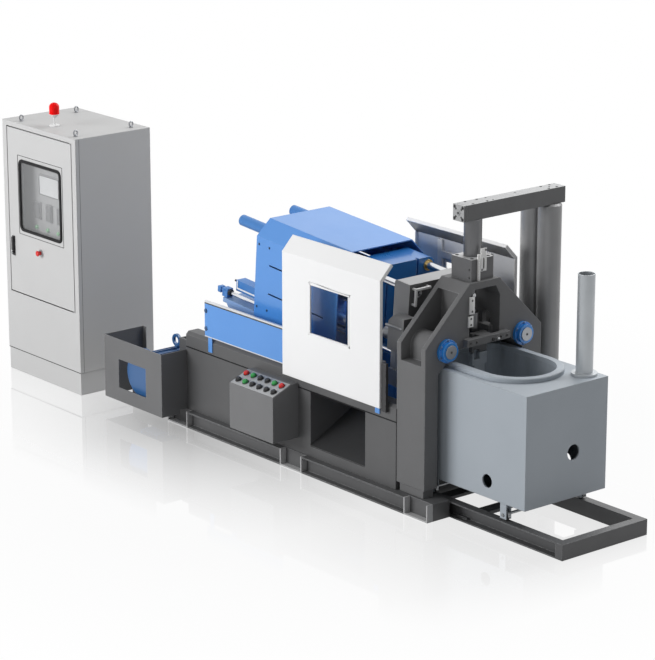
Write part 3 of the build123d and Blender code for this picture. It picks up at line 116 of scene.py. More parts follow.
class Finish:
    """A material, or the world, under construction."""

    def __init__(self, name, world=False):
        self.data = (bpy.data.worlds if world else bpy.data.materials).new(name)
        self.data.use_nodes = True
        self.tree = self.data.node_tree
        self.tree.nodes.clear()
        self.out = self.tree.nodes.new("ShaderNodeOutputWorld" if world else "ShaderNodeOutputMaterial")

    def node(self, kind, settings=None, sockets=None, output=0):
        """Add a node: its settings first, then the values or links of its sockets."""
        made = self.tree.nodes.new(kind)
        for key, value in (settings or {}).items():
            setattr(made, key, value)
        for key, value in (sockets or {}).items():
            slot = made.inputs[key]
            if isinstance(value, Socket):
                self.tree.links.new(value.output, slot)
            elif value is not None:
                slot.default_value = (*value, 1.0) if slot.type == "RGBA" else value
        return Socket(self, made.outputs[output])

    def place(self):
        """The piece's own coordinates."""
        return self.node("ShaderNodeTexCoord", output="Object")

    def noise(self, where, scale, detail=3.0, rough=0.55):
        return self.node("ShaderNodeTexNoise", None,
                         {"Vector": where, "Scale": scale, "Detail": detail, "Roughness": rough}, "Fac")

    def stretched(self, where, scale):
        """Coordinates scaled differently along each axis."""
        return self.node("ShaderNodeMapping", None, {"Vector": where, "Scale": scale})

    def ramp(self, value, low, high):
        """Move a value from the span low to high onto 0 to 1."""
        return self.node("ShaderNodeMapRange", None, {"Value": value, "From Min": low, "From Max": high})

    def blend(self, share, first, second):
        """Two colours mixed by the share of the second."""
        return self.node("ShaderNodeMix", {"data_type": "RGBA"}, {0: share, 6: first, 7: second}, 2)

    def axis(self, where, index):
        return self.node("ShaderNodeSeparateXYZ", None, {0: where}, index)

    def edges(self, radius):
        """How near the surface is to a sharp edge, and the normal rounded over that edge."""
        rounded = self.node("ShaderNodeBevel", {"samples": 6}, {"Radius": radius})
        flat = self.node("ShaderNodeNewGeometry", None, None, "Normal")
        along = self.node("ShaderNodeVectorMath", {"operation": "DOT_PRODUCT"}, {0: rounded, 1: flat},
                          "Value")
        return self.ramp(along, 0.995, 0.86), rounded

    def bump(self, height, strength, distance, normal=None):
        return self.node("ShaderNodeBump", None,
                         {"Height": height, "Strength": strength, "Distance": distance, "Normal": normal})

    def seen(self):
        """1 for what the camera, gloss and clear sheets see, 0 for the light that surfaces gather."""
        camera, gloss, through = (self.node("ShaderNodeLightPath", None, None, f"Is {kind} Ray")
                                  for kind in ("Camera", "Glossy", "Transmission"))
        maximum = {"operation": "MAXIMUM"}
        either = self.node("ShaderNodeMath", maximum, {0: camera, 1: gloss})
        return self.node("ShaderNodeMath", maximum, {0: either, 1: through})

    def layered(self, share, first, second):
        """Two shaders mixed by the share of the second."""
        return self.node("ShaderNodeMixShader", None, {0: share, 1: first, 2: second})

    def end(self, shader):
        """Lead a shader to the output."""
        self.tree.links.new(shader.output, self.out.inputs["Surface"])
        return self.data

    def surface(self, **sockets):
        """End with a principled shader. Underscores in the names stand for spaces."""
        return self.end(self.node("ShaderNodeBsdfPrincipled", None,
                                  {key.replace("_", " "): value for key, value in sockets.items()}))


def scaled(colour, share):
    return tuple(min(1.0, max(0.0, c * share)) for c in colour)


def mixed(colour, other, share):
    return tuple(a + (b - a) * share for a, b in zip(colour, other))


# Finishes
def painted(name, colour, rough=0.36, peel=0.10, edge=0.35, grime=0.10, coat=0.0, lining=None):
    """Sprayed machine paint: orange peel, faint clouding, a little grime, and lighter rubbed edges, partly
    wear and partly painted highlight.

    A lining is the colour of the faces that look towards the machine's middle plane.
    """
    f = Finish(name)
    where = f.place()
    cloud = f.ramp(f.noise(where, 2.6, 5.0), 0.35, 0.70)
    fine = f.noise(where, 190.0, 2.0)
    scuff = f.ramp(f.noise(f.stretched(where, (3.0, 3.0, 46.0)), 3.0, 6.0, 0.7), 0.66, 0.80)
    near_edge, rounded = f.edges(0.006)
    # Lighter rubbed edges: partly wear, partly a painted highlight where the edges catch the light.
    chipped_and_lit = near_edge * f.ramp(f.noise(where, 38.0, 4.0), 0.30, 0.62)
    body = f.blend(cloud * grime, colour, scaled(colour, 0.78))
    if lining:
        normal = f.node("ShaderNodeNewGeometry", None, None, "True Normal")
        depth = f.axis(where, "Y")
        steep, rib_reach = -0.43, 0.5035
        inner = (f.axis(normal, "Y") * depth) < steep
        ribs = (depth * depth) < rib_reach ** 2
        body = f.blend(inner, body, lining)
        body = f.blend(inner * ribs, body, mixed(lining, (0.85, 0.80, 0.70), 0.4))
    body = f.blend(scuff * 0.10, body, mixed(colour, (0.8, 0.8, 0.8), 0.35))
    body = f.blend(chipped_and_lit * edge, body, mixed(colour, (0.75, 0.76, 0.78), 0.55))
    return f.surface(Base_Color=body, Roughness=rough + cloud * 0.10 + scuff * 0.12 + (fine - 0.5) * 0.06,
                     Normal=f.bump(fine, peel, 0.0006, rounded), Coat_Weight=coat, Coat_Roughness=0.12,
                     Specular_IOR_Level=0.5)


def cast(name, colour, rough=0.55, edge=0.55):
    """Painted sand casting: pitted skin, lighter along the edges, partly machined wear and partly painted
    highlight.
    """
    f = Finish(name)
    where = f.place()
    pits = f.noise(where, 95.0, 6.0, 0.68)
    cloud = f.ramp(f.noise(where, 4.0, 5.0), 0.35, 0.70)
    near_edge, rounded = f.edges(0.008)
    # Lighter edges: partly machined wear, partly a painted highlight where the edges catch the light.
    worn_and_lit = near_edge * f.ramp(f.noise(where, 26.0, 4.0), 0.22, 0.60)
    body = f.blend(cloud * 0.25, colour, scaled(colour, 0.72))
    body = f.blend(worn_and_lit * edge, body, mixed(colour, (0.5, 0.51, 0.53), 0.6))
    return f.surface(Base_Color=body, Roughness=rough + (pits - 0.5) * 0.25,
                     Normal=f.bump(pits, 0.22, 0.0012, rounded), Specular_IOR_Level=0.3)


def milled_and_lit(name, colour, bare_and_lit, front):
    """Blackened steel block whose top, and on request its front end, is lighter: machined bright and also
    painted highlight.
    """
    f = Finish(name)
    where = f.place()
    normal = f.node("ShaderNodeNewGeometry", None, None, "True Normal")
    # Faces that look up, and forward on request, take the light colour: machined steel and painted highlight.
    shown = f.axis(normal, "Z") > 0.9
    if front:
        shown = shown + (f.axis(normal, "Y") < -0.9)
    lines = f.noise(f.stretched(where, (60.0, 4.0, 4.0)), 6.0, 4.0, 0.6)
    cloud = f.ramp(f.noise(where, 7.0, 5.0), 0.35, 0.70)
    near_edge, rounded = f.edges(0.004)
    skin = f.blend(cloud * 0.3, colour, scaled(colour, 0.75))
    steel = f.blend(lines * 0.6, scaled(bare_and_lit, 0.86), bare_and_lit)
    body = f.blend(shown, skin, steel)
    # Lighter along the edges: painted highlight.
    body = f.blend(near_edge * 0.45, body, mixed(bare_and_lit, colour, 0.3))
    return f.surface(Base_Color=body, Metallic=shown * 0.15,
                     Roughness=0.42 + (lines - 0.5) * 0.16 + cloud * 0.08,
                     Normal=f.bump(lines, 0.05, 0.0004, rounded), Specular_IOR_Level=0.4)


def brushed(name, colour, grain, rough=0.30, metal=1.0):
    """Ground or drawn metal with its grain along one axis and faint handling marks."""
    f = Finish(name)
    where = f.place()
    lines = f.noise(f.stretched(where, grain), 9.0, 4.0, 0.6)
    cloud = f.ramp(f.noise(where, 6.0, 5.0), 0.35, 0.72)
    near_edge, rounded = f.edges(0.003)
    body = f.blend(lines * 0.5, scaled(colour, 0.82), colour)
    body = f.blend(cloud * 0.3, body, scaled(colour, 0.66))
    # Lighter along the edges: painted highlight.
    body = f.blend(near_edge * 0.4, body, mixed(colour, (0.9, 0.9, 0.9), 0.5))
    return f.surface(Base_Color=body, Metallic=metal, Roughness=rough + (lines - 0.5) * 0.22 + cloud * 0.10,
                     Normal=f.bump(lines, 0.06, 0.0004, rounded))


def plated(name, colour=(0.80, 0.81, 0.83), rough=0.10):
    """Hard chrome on a ground bar, with an oil film."""
    f = Finish(name)
    where = f.place()
    film = f.ramp(f.noise(where, 9.0, 4.0), 0.40, 0.70)
    lines = f.noise(f.stretched(where, (1.0, 60.0, 60.0)), 6.0, 3.0)
    body = f.blend(film * 0.25, colour, scaled(colour, 0.80))
    return f.surface(Base_Color=body, Metallic=1.0, Roughness=rough + film * 0.10 + lines * 0.05)


def heated(name, colour, low, high, rough=0.5, metal=0.4):
    """Metal stained by heat, darker and browner towards its top."""
    f = Finish(name)
    where = f.place()
    stain = f.noise(f.stretched(where, (1.0, 1.0, 0.25)), 11.0, 6.0, 0.65)
    height = f.ramp(f.axis(where, "Z"), low, high)
    near_edge, rounded = f.edges(0.005)
    brown = mixed(scaled(colour, 0.6), (0.16, 0.12, 0.10), 0.3)
    body = f.blend(f.ramp(stain, 0.35, 0.75) * 0.35, colour, brown)
    body = f.blend(height * f.ramp(stain, 0.3, 0.8) * 0.3, body, scaled(colour, 0.5))
    # Lighter along the edges: painted highlight.
    body = f.blend(near_edge * 0.35, body, mixed(colour, (0.8, 0.8, 0.8), 0.5))
    return f.surface(Base_Color=body, Metallic=metal, Roughness=rough + (stain - 0.5) * 0.25,
                     Normal=f.bump(stain, 0.10, 0.0010, rounded))


def moulded(name, colour, rough=0.30, shine=0.5):
    """Moulded plastic with a fine spark texture."""
    f = Finish(name)
    where = f.place()
    spark = f.noise(where, 320.0, 2.0)
    cloud = f.ramp(f.noise(where, 14.0, 3.0), 0.35, 0.70)
    body = f.blend(cloud * 0.18, colour, scaled(colour, 0.80))
    return f.surface(Base_Color=body, Roughness=rough + (spark - 0.5) * 0.10,
                     Normal=f.bump(spark, 0.05, 0.0003), Specular_IOR_Level=shine)


def clear(name, tint, alpha, rough=0.04, smears=0.05):
    """Clear sheet with faint smears."""
    f = Finish(name)
    where = f.place()
    smear = f.ramp(f.noise(f.stretched(where, (6.0, 6.0, 2.0)), 3.0, 5.0), 0.45, 0.75)
    return f.surface(Base_Color=tint, Roughness=rough + smear * 0.10, Alpha=alpha + smear * smears,
                     Specular_IOR_Level=0.6)


def rubber(name, colour=(0.012, 0.012, 0.013)):
    """Black rubber with a faint bloom."""
    f = Finish(name)
    where = f.place()
    grain = f.noise(where, 260.0, 3.0)
    bloom = f.ramp(f.noise(where, 12.0, 4.0), 0.4, 0.75)
    body = f.blend(bloom * 0.25, colour, (0.05, 0.05, 0.05))
    return f.surface(Base_Color=body, Roughness=0.5 + (grain - 0.5) * 0.15,
                     Normal=f.bump(grain, 0.10, 0.0004), Specular_IOR_Level=0.15)


# Modelling tools
sharp_angle = math.radians(35)


def start():
    """Leave edit mode and select nothing."""
    if bpy.context.object and bpy.context.object.mode != "OBJECT":
        bpy.ops.object.mode_set(mode="OBJECT")
    bpy.ops.object.select_all(action="DESELECT")


def settle(name):
    """Name the active object and put its place into its mesh."""
    piece = bpy.context.object
    piece.name = name
    piece.data.name = name
    bpy.ops.object.transform_apply()
    return piece


def edit_all():
    """Select the whole mesh in edit mode."""
    bpy.ops.object.mode_set(mode="EDIT")
    bpy.ops.mesh.select_all(action="SELECT")


def pick_faces(piece, test):
    """Select the faces that pass a test on their centre and normal, in edit mode."""
    bpy.ops.object.mode_set(mode="OBJECT")
    for part in (piece.data.vertices, piece.data.edges, piece.data.polygons):
        for item in part:
            item.select = False
    for face in piece.data.polygons:
        face.select = test(face.center, face.normal)
    bpy.ops.object.mode_set(mode="EDIT")
    bpy.ops.mesh.select_mode(type="FACE")


def on_top(centre, normal):
    """Whether a face looks up."""
    return normal.z > 0.9


def done(piece):
    """Back to object mode, outward normals, smooth faces between sharp edges."""
    edit_all()
    bpy.ops.mesh.remove_doubles(threshold=0.00001)
    bpy.ops.mesh.normals_make_consistent()
    bpy.ops.object.mode_set(mode="OBJECT")
    bpy.ops.object.shade_smooth_by_angle(angle=sharp_angle)
    return piece


def block(name, low, high, bevel=0.002, segments=2):
    """A box between two corners with rounded edges."""
    start()
    low, high = Vector(low), Vector(high)
    bpy.ops.mesh.primitive_cube_add(size=1.0, location=(low + high) / 2, scale=high - low)
    piece = settle(name)
    edit_all()
    if bevel:
        bpy.ops.mesh.bevel(offset=bevel, segments=segments, affect="EDGES", clamp_overlap=True)
    return done(piece)


def drum(name, centre, axis, radius, depth, vertices=32, bevel=0.0015):
    """A disc or rod about a centre along an axis, with its rims rounded."""
    start()
    turn = Vector(axis).to_track_quat("Z", "Y").to_euler()
    bpy.ops.mesh.primitive_cylinder_add(vertices=vertices, radius=radius, depth=depth, location=centre,
                                        rotation=turn)
    piece = settle(name)
    direction = Vector(axis).normalized()
    pick_faces(piece, lambda c, n: abs(n.dot(direction)) > 0.9)
    if bevel:
        bpy.ops.mesh.bevel(offset=bevel, segments=2, affect="EDGES", clamp_overlap=True)
    return done(piece)


def band(name, centre, axis, outer, inner, depth, vertices=48):
    """A flat ring: a disc with its middle taken out."""
    start()
    turn = Vector(axis).to_track_quat("Z", "Y").to_euler()
    bpy.ops.mesh.primitive_circle_add(vertices=vertices, radius=outer, fill_type="NGON", location=centre,
                                      rotation=turn)
    piece = settle(name)
    edit_all()
    bpy.ops.mesh.inset(thickness=outer - inner, depth=0.0)
    bpy.ops.mesh.delete(type="FACE")
    bpy.ops.object.mode_set(mode="OBJECT")
    thicken(piece, depth)
    return done(piece)


def thicken(piece, depth, bevel=0.0):
    """Give a flat piece its thickness about its own plane."""
    wall = piece.modifiers.new("wall", "SOLIDIFY")
    wall.thickness = depth
    wall.offset = 0.0
    bpy.ops.object.modifier_apply(modifier="wall")
    if bevel:
        rim = piece.modifiers.new("rim", "BEVEL")
        rim.width = bevel
        rim.segments = 2
        rim.limit_method = "ANGLE"
        bpy.ops.object.modifier_apply(modifier="rim")


def border(name, low, high, y, width, depth, corner=0.0, bevel=0.001):
    """A rectangular frame that stands in a plane of constant Y."""
    start()
    centre = ((low[0] + high[0]) / 2, y, (low[1] + high[1]) / 2)
    bpy.ops.mesh.primitive_plane_add(size=1.0, location=centre, rotation=(math.pi / 2, 0, 0))
    piece = bpy.context.object
    piece.scale = (high[0] - low[0], high[1] - low[1], 1.0)
    settle(name)
    edit_all()
    if corner:
        bpy.ops.mesh.bevel(offset=corner, segments=6, affect="VERTICES")
        bpy.ops.mesh.select_all(action="SELECT")
    bpy.ops.mesh.inset(thickness=width, depth=0.0)
    bpy.ops.mesh.delete(type="FACE")
    bpy.ops.object.mode_set(mode="OBJECT")
    thicken(piece, depth, bevel)
    return done(piece)


def repeated(first, moves):
    """Copy a piece to each place, every copy with its own mesh, and make one piece of them."""
    copies = []
    for move in moves[1:]:
        copy = first.copy()
        copy.data = first.data.copy()
        bpy.context.collection.objects.link(copy)
        copy.data.transform(move)
        copies.append(copy)
    first.data.transform(moves[0])
    return joined(first, copies)


def pillar(name, radius, height, sides):
    """A plain cylinder that stands on the origin."""
    start()
    bpy.ops.mesh.primitive_cylinder_add(vertices=sides, radius=radius, depth=height,
                                        location=(0, 0, height / 2))
    return settle(name)


def facing(place, axis):
    """The move that carries a piece standing on the origin to a place, with its Z along an axis."""
    return Matrix.Translation(place) @ Vector(axis).to_track_quat("Z", "Y").to_matrix().to_4x4()


def screws(name, places, axis, radius, height, hexagon=False):
    """Cap screws with a hexagon socket, or hexagon heads, modelled once and copied to their places."""
    first = pillar(name, radius, height, 6 if hexagon else 20)
    pick_faces(first, on_top)
    bpy.ops.mesh.bevel(offset=radius * 0.14, segments=2, affect="EDGES")
    if not hexagon:
        pick_faces(first, on_top)
        bpy.ops.mesh.inset(thickness=radius * 0.42, depth=0.0)
        bpy.ops.mesh.inset(thickness=0.0, depth=-height * 0.5)
    done(first)
    return repeated(first, [facing(place, axis) for place in places])


def cap(name, radius, height, round_over=0.5, sides=32):
    """A button's head that stands on the origin, rounded over at its top."""
    piece = pillar(name, radius, height, sides)
    pick_faces(piece, on_top)
    bpy.ops.mesh.bevel(offset=height * round_over, segments=6, affect="EDGES", clamp_overlap=True)
    return done(piece)


def sunk(piece, rim, depth):
    """Sink a piece's front face inside a rim."""
    pick_faces(piece, lambda c, n: n.y < -0.9)
    bpy.ops.mesh.inset(thickness=rim, depth=-depth)
    return done(piece)


def joined(first, others):
    """Make one piece of several."""
    bpy.ops.object.select_all(action="DESELECT")
    for other in others:
        other.select_set(True)
    first.select_set(True)
    bpy.context.view_layer.objects.active = first
    if others:
        bpy.ops.object.join()
    return first


def grouped(name, pieces):
    """Make one piece of several, under a new name."""
    piece = joined(pieces[0], pieces[1:])
    piece.name = name
    return piece


# Finishes by their short names
finishes = {}


def dress(piece, finish, body="machine"):
    """Give a new piece its finish and let it ride on its body, the fixed one unless another is named."""
    piece.data.materials.clear()
    piece.data.materials.append(finishes[finish])
    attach(piece, body)
    return piece


def coat(finish, names):
    """Give CAD nodes their finish."""
    for name in names:
        data = nodes[name].data
        data.materials.clear()
        data.materials.append(finishes[finish])
        for face in data.polygons:
            face.material_index = 0


def fasten(name, places, axis, radius, height, finish="bolt", hexagon=False):
    """Screws that ride on the machine's fixed body."""
    return dress(screws(name, places, axis, radius, height, hexagon), finish)


# Directions, and the plane of the clamp unit, which leans by its tilt
forward, upward, rightward = (0, -1, 0), (0, 0, 1), (1, 0, 0)
clamp_tilt, clamp_height = math.radians(4.2), 1.126
clamp_plane = Matrix.Translation((0, 0, clamp_height)) @ Matrix.Rotation(clamp_tilt, 4, "Y")


class CASTING_OT_finishes(bpy.types.Operator):
    """Mix the finishes and give them to the solids"""

    bl_idname = "casting.finishes"
    bl_label = "Finishes"

    def execute(self, context):
        p = paints()
        f = finishes
        upright, lengthwise = (40.0, 40.0, 1.0), (1.0, 40.0, 40.0)
        turned, tumbled = (30.0, 30.0, 30.0), (20.0, 20.0, 20.0)
        f["blue"] = painted("machine_blue", p.blue, rough=0.30, peel=0.12, edge=0.30, grime=0.16, coat=0.6)
        f["nut"] = painted("nut_blue", (0.02, 0.24, 0.70), rough=0.26, edge=0.5, coat=0.4)
        f["platen_blue"] = painted("platen_blue", (0.02, 0.16, 0.48), rough=0.26, edge=0.3, grime=0.16,
                                   coat=0.6)
        f["cover"] = painted("cover_blue", scaled(p.blue, 0.74), rough=0.30, peel=0.12, edge=0.30, grime=0.16)
        # Darker than the bed paint: painted shade under the door and beside the console and guard.
        f["bed"] = painted("bed_grey_painted_shade", scaled(p.bed, 0.78), rough=0.46, edge=0.30, grime=0.30)
        f["guard"] = painted("guard_grey", scaled(p.bed, 1.05), rough=0.44, edge=0.40, grime=0.25)
        f["console"] = painted("console_grey", scaled(p.bed, 1.3), rough=0.46, edge=0.30, grime=0.2)
        f["base"] = painted("base_grey", scaled(p.bed, 0.8), rough=0.48, edge=0.5, grime=0.4)
        f["pocket"] = painted("pocket_grey", (0.47, 0.471, 0.475), rough=0.45, edge=0.4, grime=0.3)
        f["casting"] = cast("frame_casting", p.casting, rough=0.6)
        # The fixed platen's top and front, and the block's top, are lighter: machined faces and painted
        # light.
        f["platen"] = milled_and_lit("platen_casting", (0.11, 0.111, 0.113), p.platen, True)
        f["block"] = milled_and_lit("block_steel", (0.115, 0.116, 0.12), (0.62, 0.625, 0.63), False)
        f["door"] = painted("door_white", p.door, rough=0.38, peel=0.08, edge=0.08, grime=0.05,
                            lining=(0.48, 0.485, 0.50))
        f["furnace"] = painted("furnace_grey", p.furnace, rough=0.44, edge=0.25, grime=0.18)
        f["pot"] = heated("pot_iron", p.furnace, low=0.45, high=0.94, metal=0.1)
        f["flue"] = brushed("flue_tube", (0.53, 0.56, 0.585), upright, rough=0.32, metal=0.5)
        f["cabinet"] = painted("cabinet_grey", p.cabinet, rough=0.46, peel=0.16, edge=0.12, grime=0.06)
        f["rail"] = painted("rail_grey", p.rail, rough=0.45, edge=0.5, grime=0.4)
        # Much darker than the machine blue: painted shade inside the guard.
        f["motor"] = painted("motor_blue_painted_shade", scaled(p.blue, 0.40), rough=0.34, edge=0.4, grime=0.25, coat=0.2)
        f["foot"] = painted("foot_blue", (0.22, 0.36, 0.60), rough=0.40, edge=0.4, grime=0.25)
        f["track"] = brushed("track_bar", (0.86, 0.87, 0.89), lengthwise, rough=0.28, metal=0.5)
        f["stop"] = painted("stop_black", (0.03, 0.03, 0.032), rough=0.45, edge=0.5)
        f["chrome"] = plated("tie_bar_chrome")
        f["steel"] = brushed("rod_steel", (0.36, 0.37, 0.39), turned, rough=0.38)
        f["tube"] = brushed("cylinder_tube", (0.16, 0.162, 0.168), upright, rough=0.28, metal=0.7)
        # The manifold's top and front end are lighter: machined steel and painted highlight.
        f["manifold"] = milled_and_lit("manifold_steel", (0.115, 0.117, 0.12), (0.42, 0.425, 0.43), True)
        f["accumulator"] = brushed("accumulator_steel", (0.29, 0.292, 0.297), upright, rough=0.36, metal=0.2)
        # Near black: painted shade in the chute.
        f["chute"] = brushed("chute_sheet_painted_shade", (0.035, 0.0355, 0.037), (40.0, 1.0, 1.0), rough=0.55, metal=0.0)
        f["bronze"] = brushed("bush_bronze", (0.80, 0.56, 0.20), turned, rough=0.28)
        f["white"] = painted("hook_white", (0.85, 0.85, 0.85), rough=0.4, edge=0.1)
        f["sensor"] = moulded("sensor_grey", (0.82, 0.82, 0.81), rough=0.5)
        f["red"] = moulded("red_plastic", (0.62, 0.015, 0.012), rough=0.24)
        f["green"] = moulded("green_plastic", (0.02, 0.30, 0.06), rough=0.24)
        f["lamp"] = moulded("lamp_green", (0.30, 0.70, 0.36), rough=0.4, shine=0.2)
        f["black"] = moulded("black_plastic", (0.014, 0.014, 0.016), rough=0.28)
        f["beacon"] = moulded("beacon_red", (0.84, 0.003, 0.003), rough=0.14, shine=0.12)
        f["collar"] = moulded("beacon_white", (0.72, 0.72, 0.72), rough=0.28)
        f["zinc"] = brushed("zinc_steel", (0.50, 0.51, 0.52), tumbled, rough=0.36)
        # Near black: blackened steel, and painted shade so that flush screw heads read as dark holes.
        f["bolt"] = brushed("blackened_screw", (0.016, 0.016, 0.018), tumbled, rough=0.55, metal=0.1)
        f["wheel"] = brushed("wheel_steel", (0.30, 0.31, 0.32), (30.0, 1.0, 30.0), rough=0.36)
        f["door_pane"] = clear("door_pane", (0.10, 0.12, 0.14), alpha=0.03, smears=0.02)
        # The pane's faint grey veil evens out the shadow on the panel behind it: painted light.
        f["cabinet_pane"] = clear("cabinet_pane", (0.52, 0.53, 0.54), alpha=0.18, smears=0.01)
        f["panel"] = painted("panel_grey", (0.44, 0.443, 0.447), rough=0.5, edge=0.1, grime=0.05)
        f["screen"] = moulded("screen_pale", (0.80, 0.81, 0.82), rough=0.22)
        f["meter"] = moulded("meter_grey", (0.20, 0.203, 0.207), rough=0.40)
        f["rubber"] = rubber("gasket_rubber")
        f["plate"] = brushed("console_aluminium", (0.52, 0.53, 0.54), lengthwise, rough=0.40, metal=0.3)
        worn_by = {
            "base": "base_frame", "pocket": "fork_pockets", "bed": "bed_body bed_bands oil_tank",
            "console": "console_box", "chute": "chute_plate", "guard": "motor_guard", "motor": "pump_motor",
            "blue": "rail_panels rear_platen clamp_cover clamp_ways", "nut": "frame_nuts",
            "platen_blue": "moving_platen", "cover": "tie_bar_covers closing_cylinder",
            "track": "door_tracks", "stop": "door_stop", "chrome": "tie_bars", "foot": "clamp_foot",
            "platen": "fixed_platen", "white": "hook_bar",
            "casting": "injection_frame accumulator_shelf clamp_bar",
            "block": "injection_block", "steel": "pull_rods", "tube": "shot_cylinder plunger",
            "manifold": "oil_manifold", "accumulator": "accumulators", "sensor": "stroke_sensors",
            "rail": "furnace_rails", "cabinet": "cabinet_shell cabinet_door", "panel": "instrument_panel",
            "zinc": "lifting_eyes", "collar": "beacon_base", "beacon": "beacon_lamp",
            "door": "front_door rear_door", "door_pane": "front_door_window rear_door_window",
            "bronze": "platen_bushings", "furnace": "furnace_shell wheel_forks pot_rim",
            "pot": "melting_pot pot_floor gooseneck", "flue": "flue", "wheel": "inner_wheels outer_wheels",
            "cabinet_pane": "cabinet_door_window", "black": "cabinet_handle black_buttons",
            "red": "red_buttons", "green": "green_buttons",
        }
        for finish, solids in worn_by.items():
            coat(finish, solids.split())
        return {"FINISHED"}


class CASTING_OT_door_frames(bpy.types.Operator):
    """Frame the windows of the sliding doors"""

    bl_idname = "casting.door_frames"
    bl_label = "Door window frames"

    def execute(self, context):
        width = sizes().trim
        lap = 0.008
        grow = width - lap
        for body, side in (("front_door", 0), ("rear_door", 1)):
            low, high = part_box(body + "_window")
            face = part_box(body)[side].y
            outward = 1 if side else -1
            edging = border(body + "_frame", (low.x - grow, low.z - grow), (high.x + grow, high.z + grow),
                            face - outward * 0.001, width + 0.003, depth=0.012, corner=0.003, bevel=0.0012)
            dress(edging, "door", body)
        return {"FINISHED"}


class CASTING_OT_cabinet_glazing(bpy.types.Operator):
    """Seal the cabinet's window with rubber inside a raised black line: painted shade of a recessed border"""

    bl_idname = "casting.cabinet_glazing"
    bl_label = "Cabinet glazing"

    def execute(self, context):
        low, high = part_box("cabinet_door_window")
        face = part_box("cabinet_door")[0].y
        width = sizes().gasket
        seal = border("cabinet_gasket", (low.x - width, low.z - width), (high.x + width, high.z + width),
                      face - 0.002, width + 0.004, depth=0.012, corner=0.042, bevel=0.004)
        dress(seal, "rubber", "cabinet_door")
        # The black line round the window is painted shade of a recessed border.
        beside = width + 0.015
        above = beside + 0.010
        line = border("cabinet_window_shade_line", (low.x - beside, low.z - above),
                      (high.x + beside, high.z + above), face - 0.0005, 0.0032, depth=0.003, corner=0.004,
                      bevel=0.0008)
        dress(line, "rubber", "cabinet_door")
        return {"FINISHED"}


class CASTING_OT_cabinet_controls(bpy.types.Operator):
    """Fit the cabinet's stop button, lock, base line and side seam"""

    bl_idname = "casting.cabinet_controls"
    bl_label = "Cabinet controls"

    def execute(self, context):
        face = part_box("cabinet_door")[0].y
        stop_x, stop_z = -2.576, 0.925
        collar = cap("stop_collar", 0.024, 0.008, 0.35)
        collar.data.transform(facing((stop_x, face, stop_z), forward))
        dress(collar, "zinc", "cabinet_door")
        head = cap("stop_head", 0.021, 0.030, 0.32)
        pick_faces(head, lambda c, n: abs(n.z) < 0.3 and c.z < 0.012)
        bpy.ops.transform.resize(value=(0.72, 0.72, 1.0), center_override=(0, 0, 0.005))
        done(head)
        head.data.transform(facing((stop_x, face - 0.007, stop_z), forward))
        dress(head, "red", "cabinet_door")
        low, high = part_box("cabinet_shell")
        base_top = 0.160
        strip = border("cabinet_base_line", (low.x + 0.002, base_top - 0.004), (high.x - 0.002, base_top),
                       low.y - 0.0005, 0.0019, depth=0.002, bevel=0.0)
        dress(strip, "rubber")
        seam = block("cabinet_side_seam", (high.x - 0.002, low.y + 0.028, base_top),
                     (high.x + 0.0004, low.y + 0.0305, high.z - 0.004), 0.0003, 1)
        dress(seam, "rubber")
        lock = cap("handle_lock", 0.0085, 0.004, 0.3, 24)
        lock.data.transform(facing((-2.910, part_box("cabinet_handle")[0].y, 0.866), forward))
        dress(lock, "zinc", "cabinet_door")
        return {"FINISHED"}


class CASTING_OT_instruments(bpy.types.Operator):
    """Fit the screen, meters and lamps behind the cabinet's window"""

    bl_idname = "casting.instruments"
    bl_label = "Instruments"

    def execute(self, context):
        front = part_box("instrument_panel")[0].y

        def sunk_plate(name, low, high, rim):
            plate = block(name, (low[0], front - 0.004, low[1]), (high[0], front + 0.002, high[1]), 0.003)
            return sunk(plate, rim, 0.001)

        low, high, margin = (-2.705, 1.309), (-2.475, 1.441), 0.004
        dress(sunk_plate("cabinet_screen", low, high, 0.006), "screen")
        surround = border("cabinet_screen_frame", (low[0] - margin, low[1] - margin),
                          (high[0] + margin, high[1] + margin), front - 0.0045, 0.005, depth=0.004)
        dress(surround, "meter")
        meters = [sunk_plate(f"meter_{i}", (x - 0.031, 1.124), (x + 0.031, 1.240), 0.005)
                  for i, x in enumerate((-2.745, -2.609, -2.473))]
        dress(grouped("cabinet_meters", meters), "meter")
        lamps = repeated(cap("cabinet_lamps", 0.015, 0.016, 0.6),
                         [facing((x, front + 0.014, 1.057), forward) for x in (-2.770, -2.634, -2.505)])
        dress(lamps, "lamp")
        return {"FINISHED"}


class CASTING_OT_console(bpy.types.Operator):
    """Lay the console's pale plate and set its push buttons"""

    bl_idname = "casting.console"
    bl_label = "Console"

    def execute(self, context):
        low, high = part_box("console_box")
        front, back = Vector((0, low.y, 0.506)), Vector((0, -0.536, high.z))
        along = (back - front).normalized()
        across = Vector((1, 0, 0))
        middle = (front + back) / 2 + across * (low.x + high.x) / 2
        turn = Matrix((across, along, across.cross(along))).transposed().to_4x4()
        desk = Matrix.Translation(middle) @ turn
        half_x, half_y = (high.x - low.x) / 2 - 0.006, (back - front).length / 2 - 0.005
        plate = block("console_plate", (-half_x, -half_y, -0.001), (half_x, half_y, 0.0025), 0.0008)
        plate.data.transform(desk)
        dress(plate, "plate")
        pitch, head_radius = 0.072, 0.0185
        colours = {
            "red": ((0, 1), (5, 1)),
            "green": ((1, 1), (4, 1), (1, 0)),
            "black": ((2, 1), (3, 1), (0, 0), (2, 0), (3, 0), (4, 0), (5, 0)),
        }
        rims = []
        for colour, places in colours.items():
            spots = [desk @ Matrix.Translation(((column - 2.5) * pitch, (line - 0.5) * pitch, 0.0))
                     for column, line in places]
            rims += spots
            heads = repeated(cap(f"{colour}_heads", head_radius, 0.023, 0.45), spots)
            dress(heads, colour)
            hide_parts(f"{colour}_buttons")
        rim = band("button_rims", (0, 0, 0.004), upward, head_radius + 0.004, head_radius - 0.0005, 0.004)
        dress(repeated(rim, rims), "bolt")
        return {"FINISHED"}


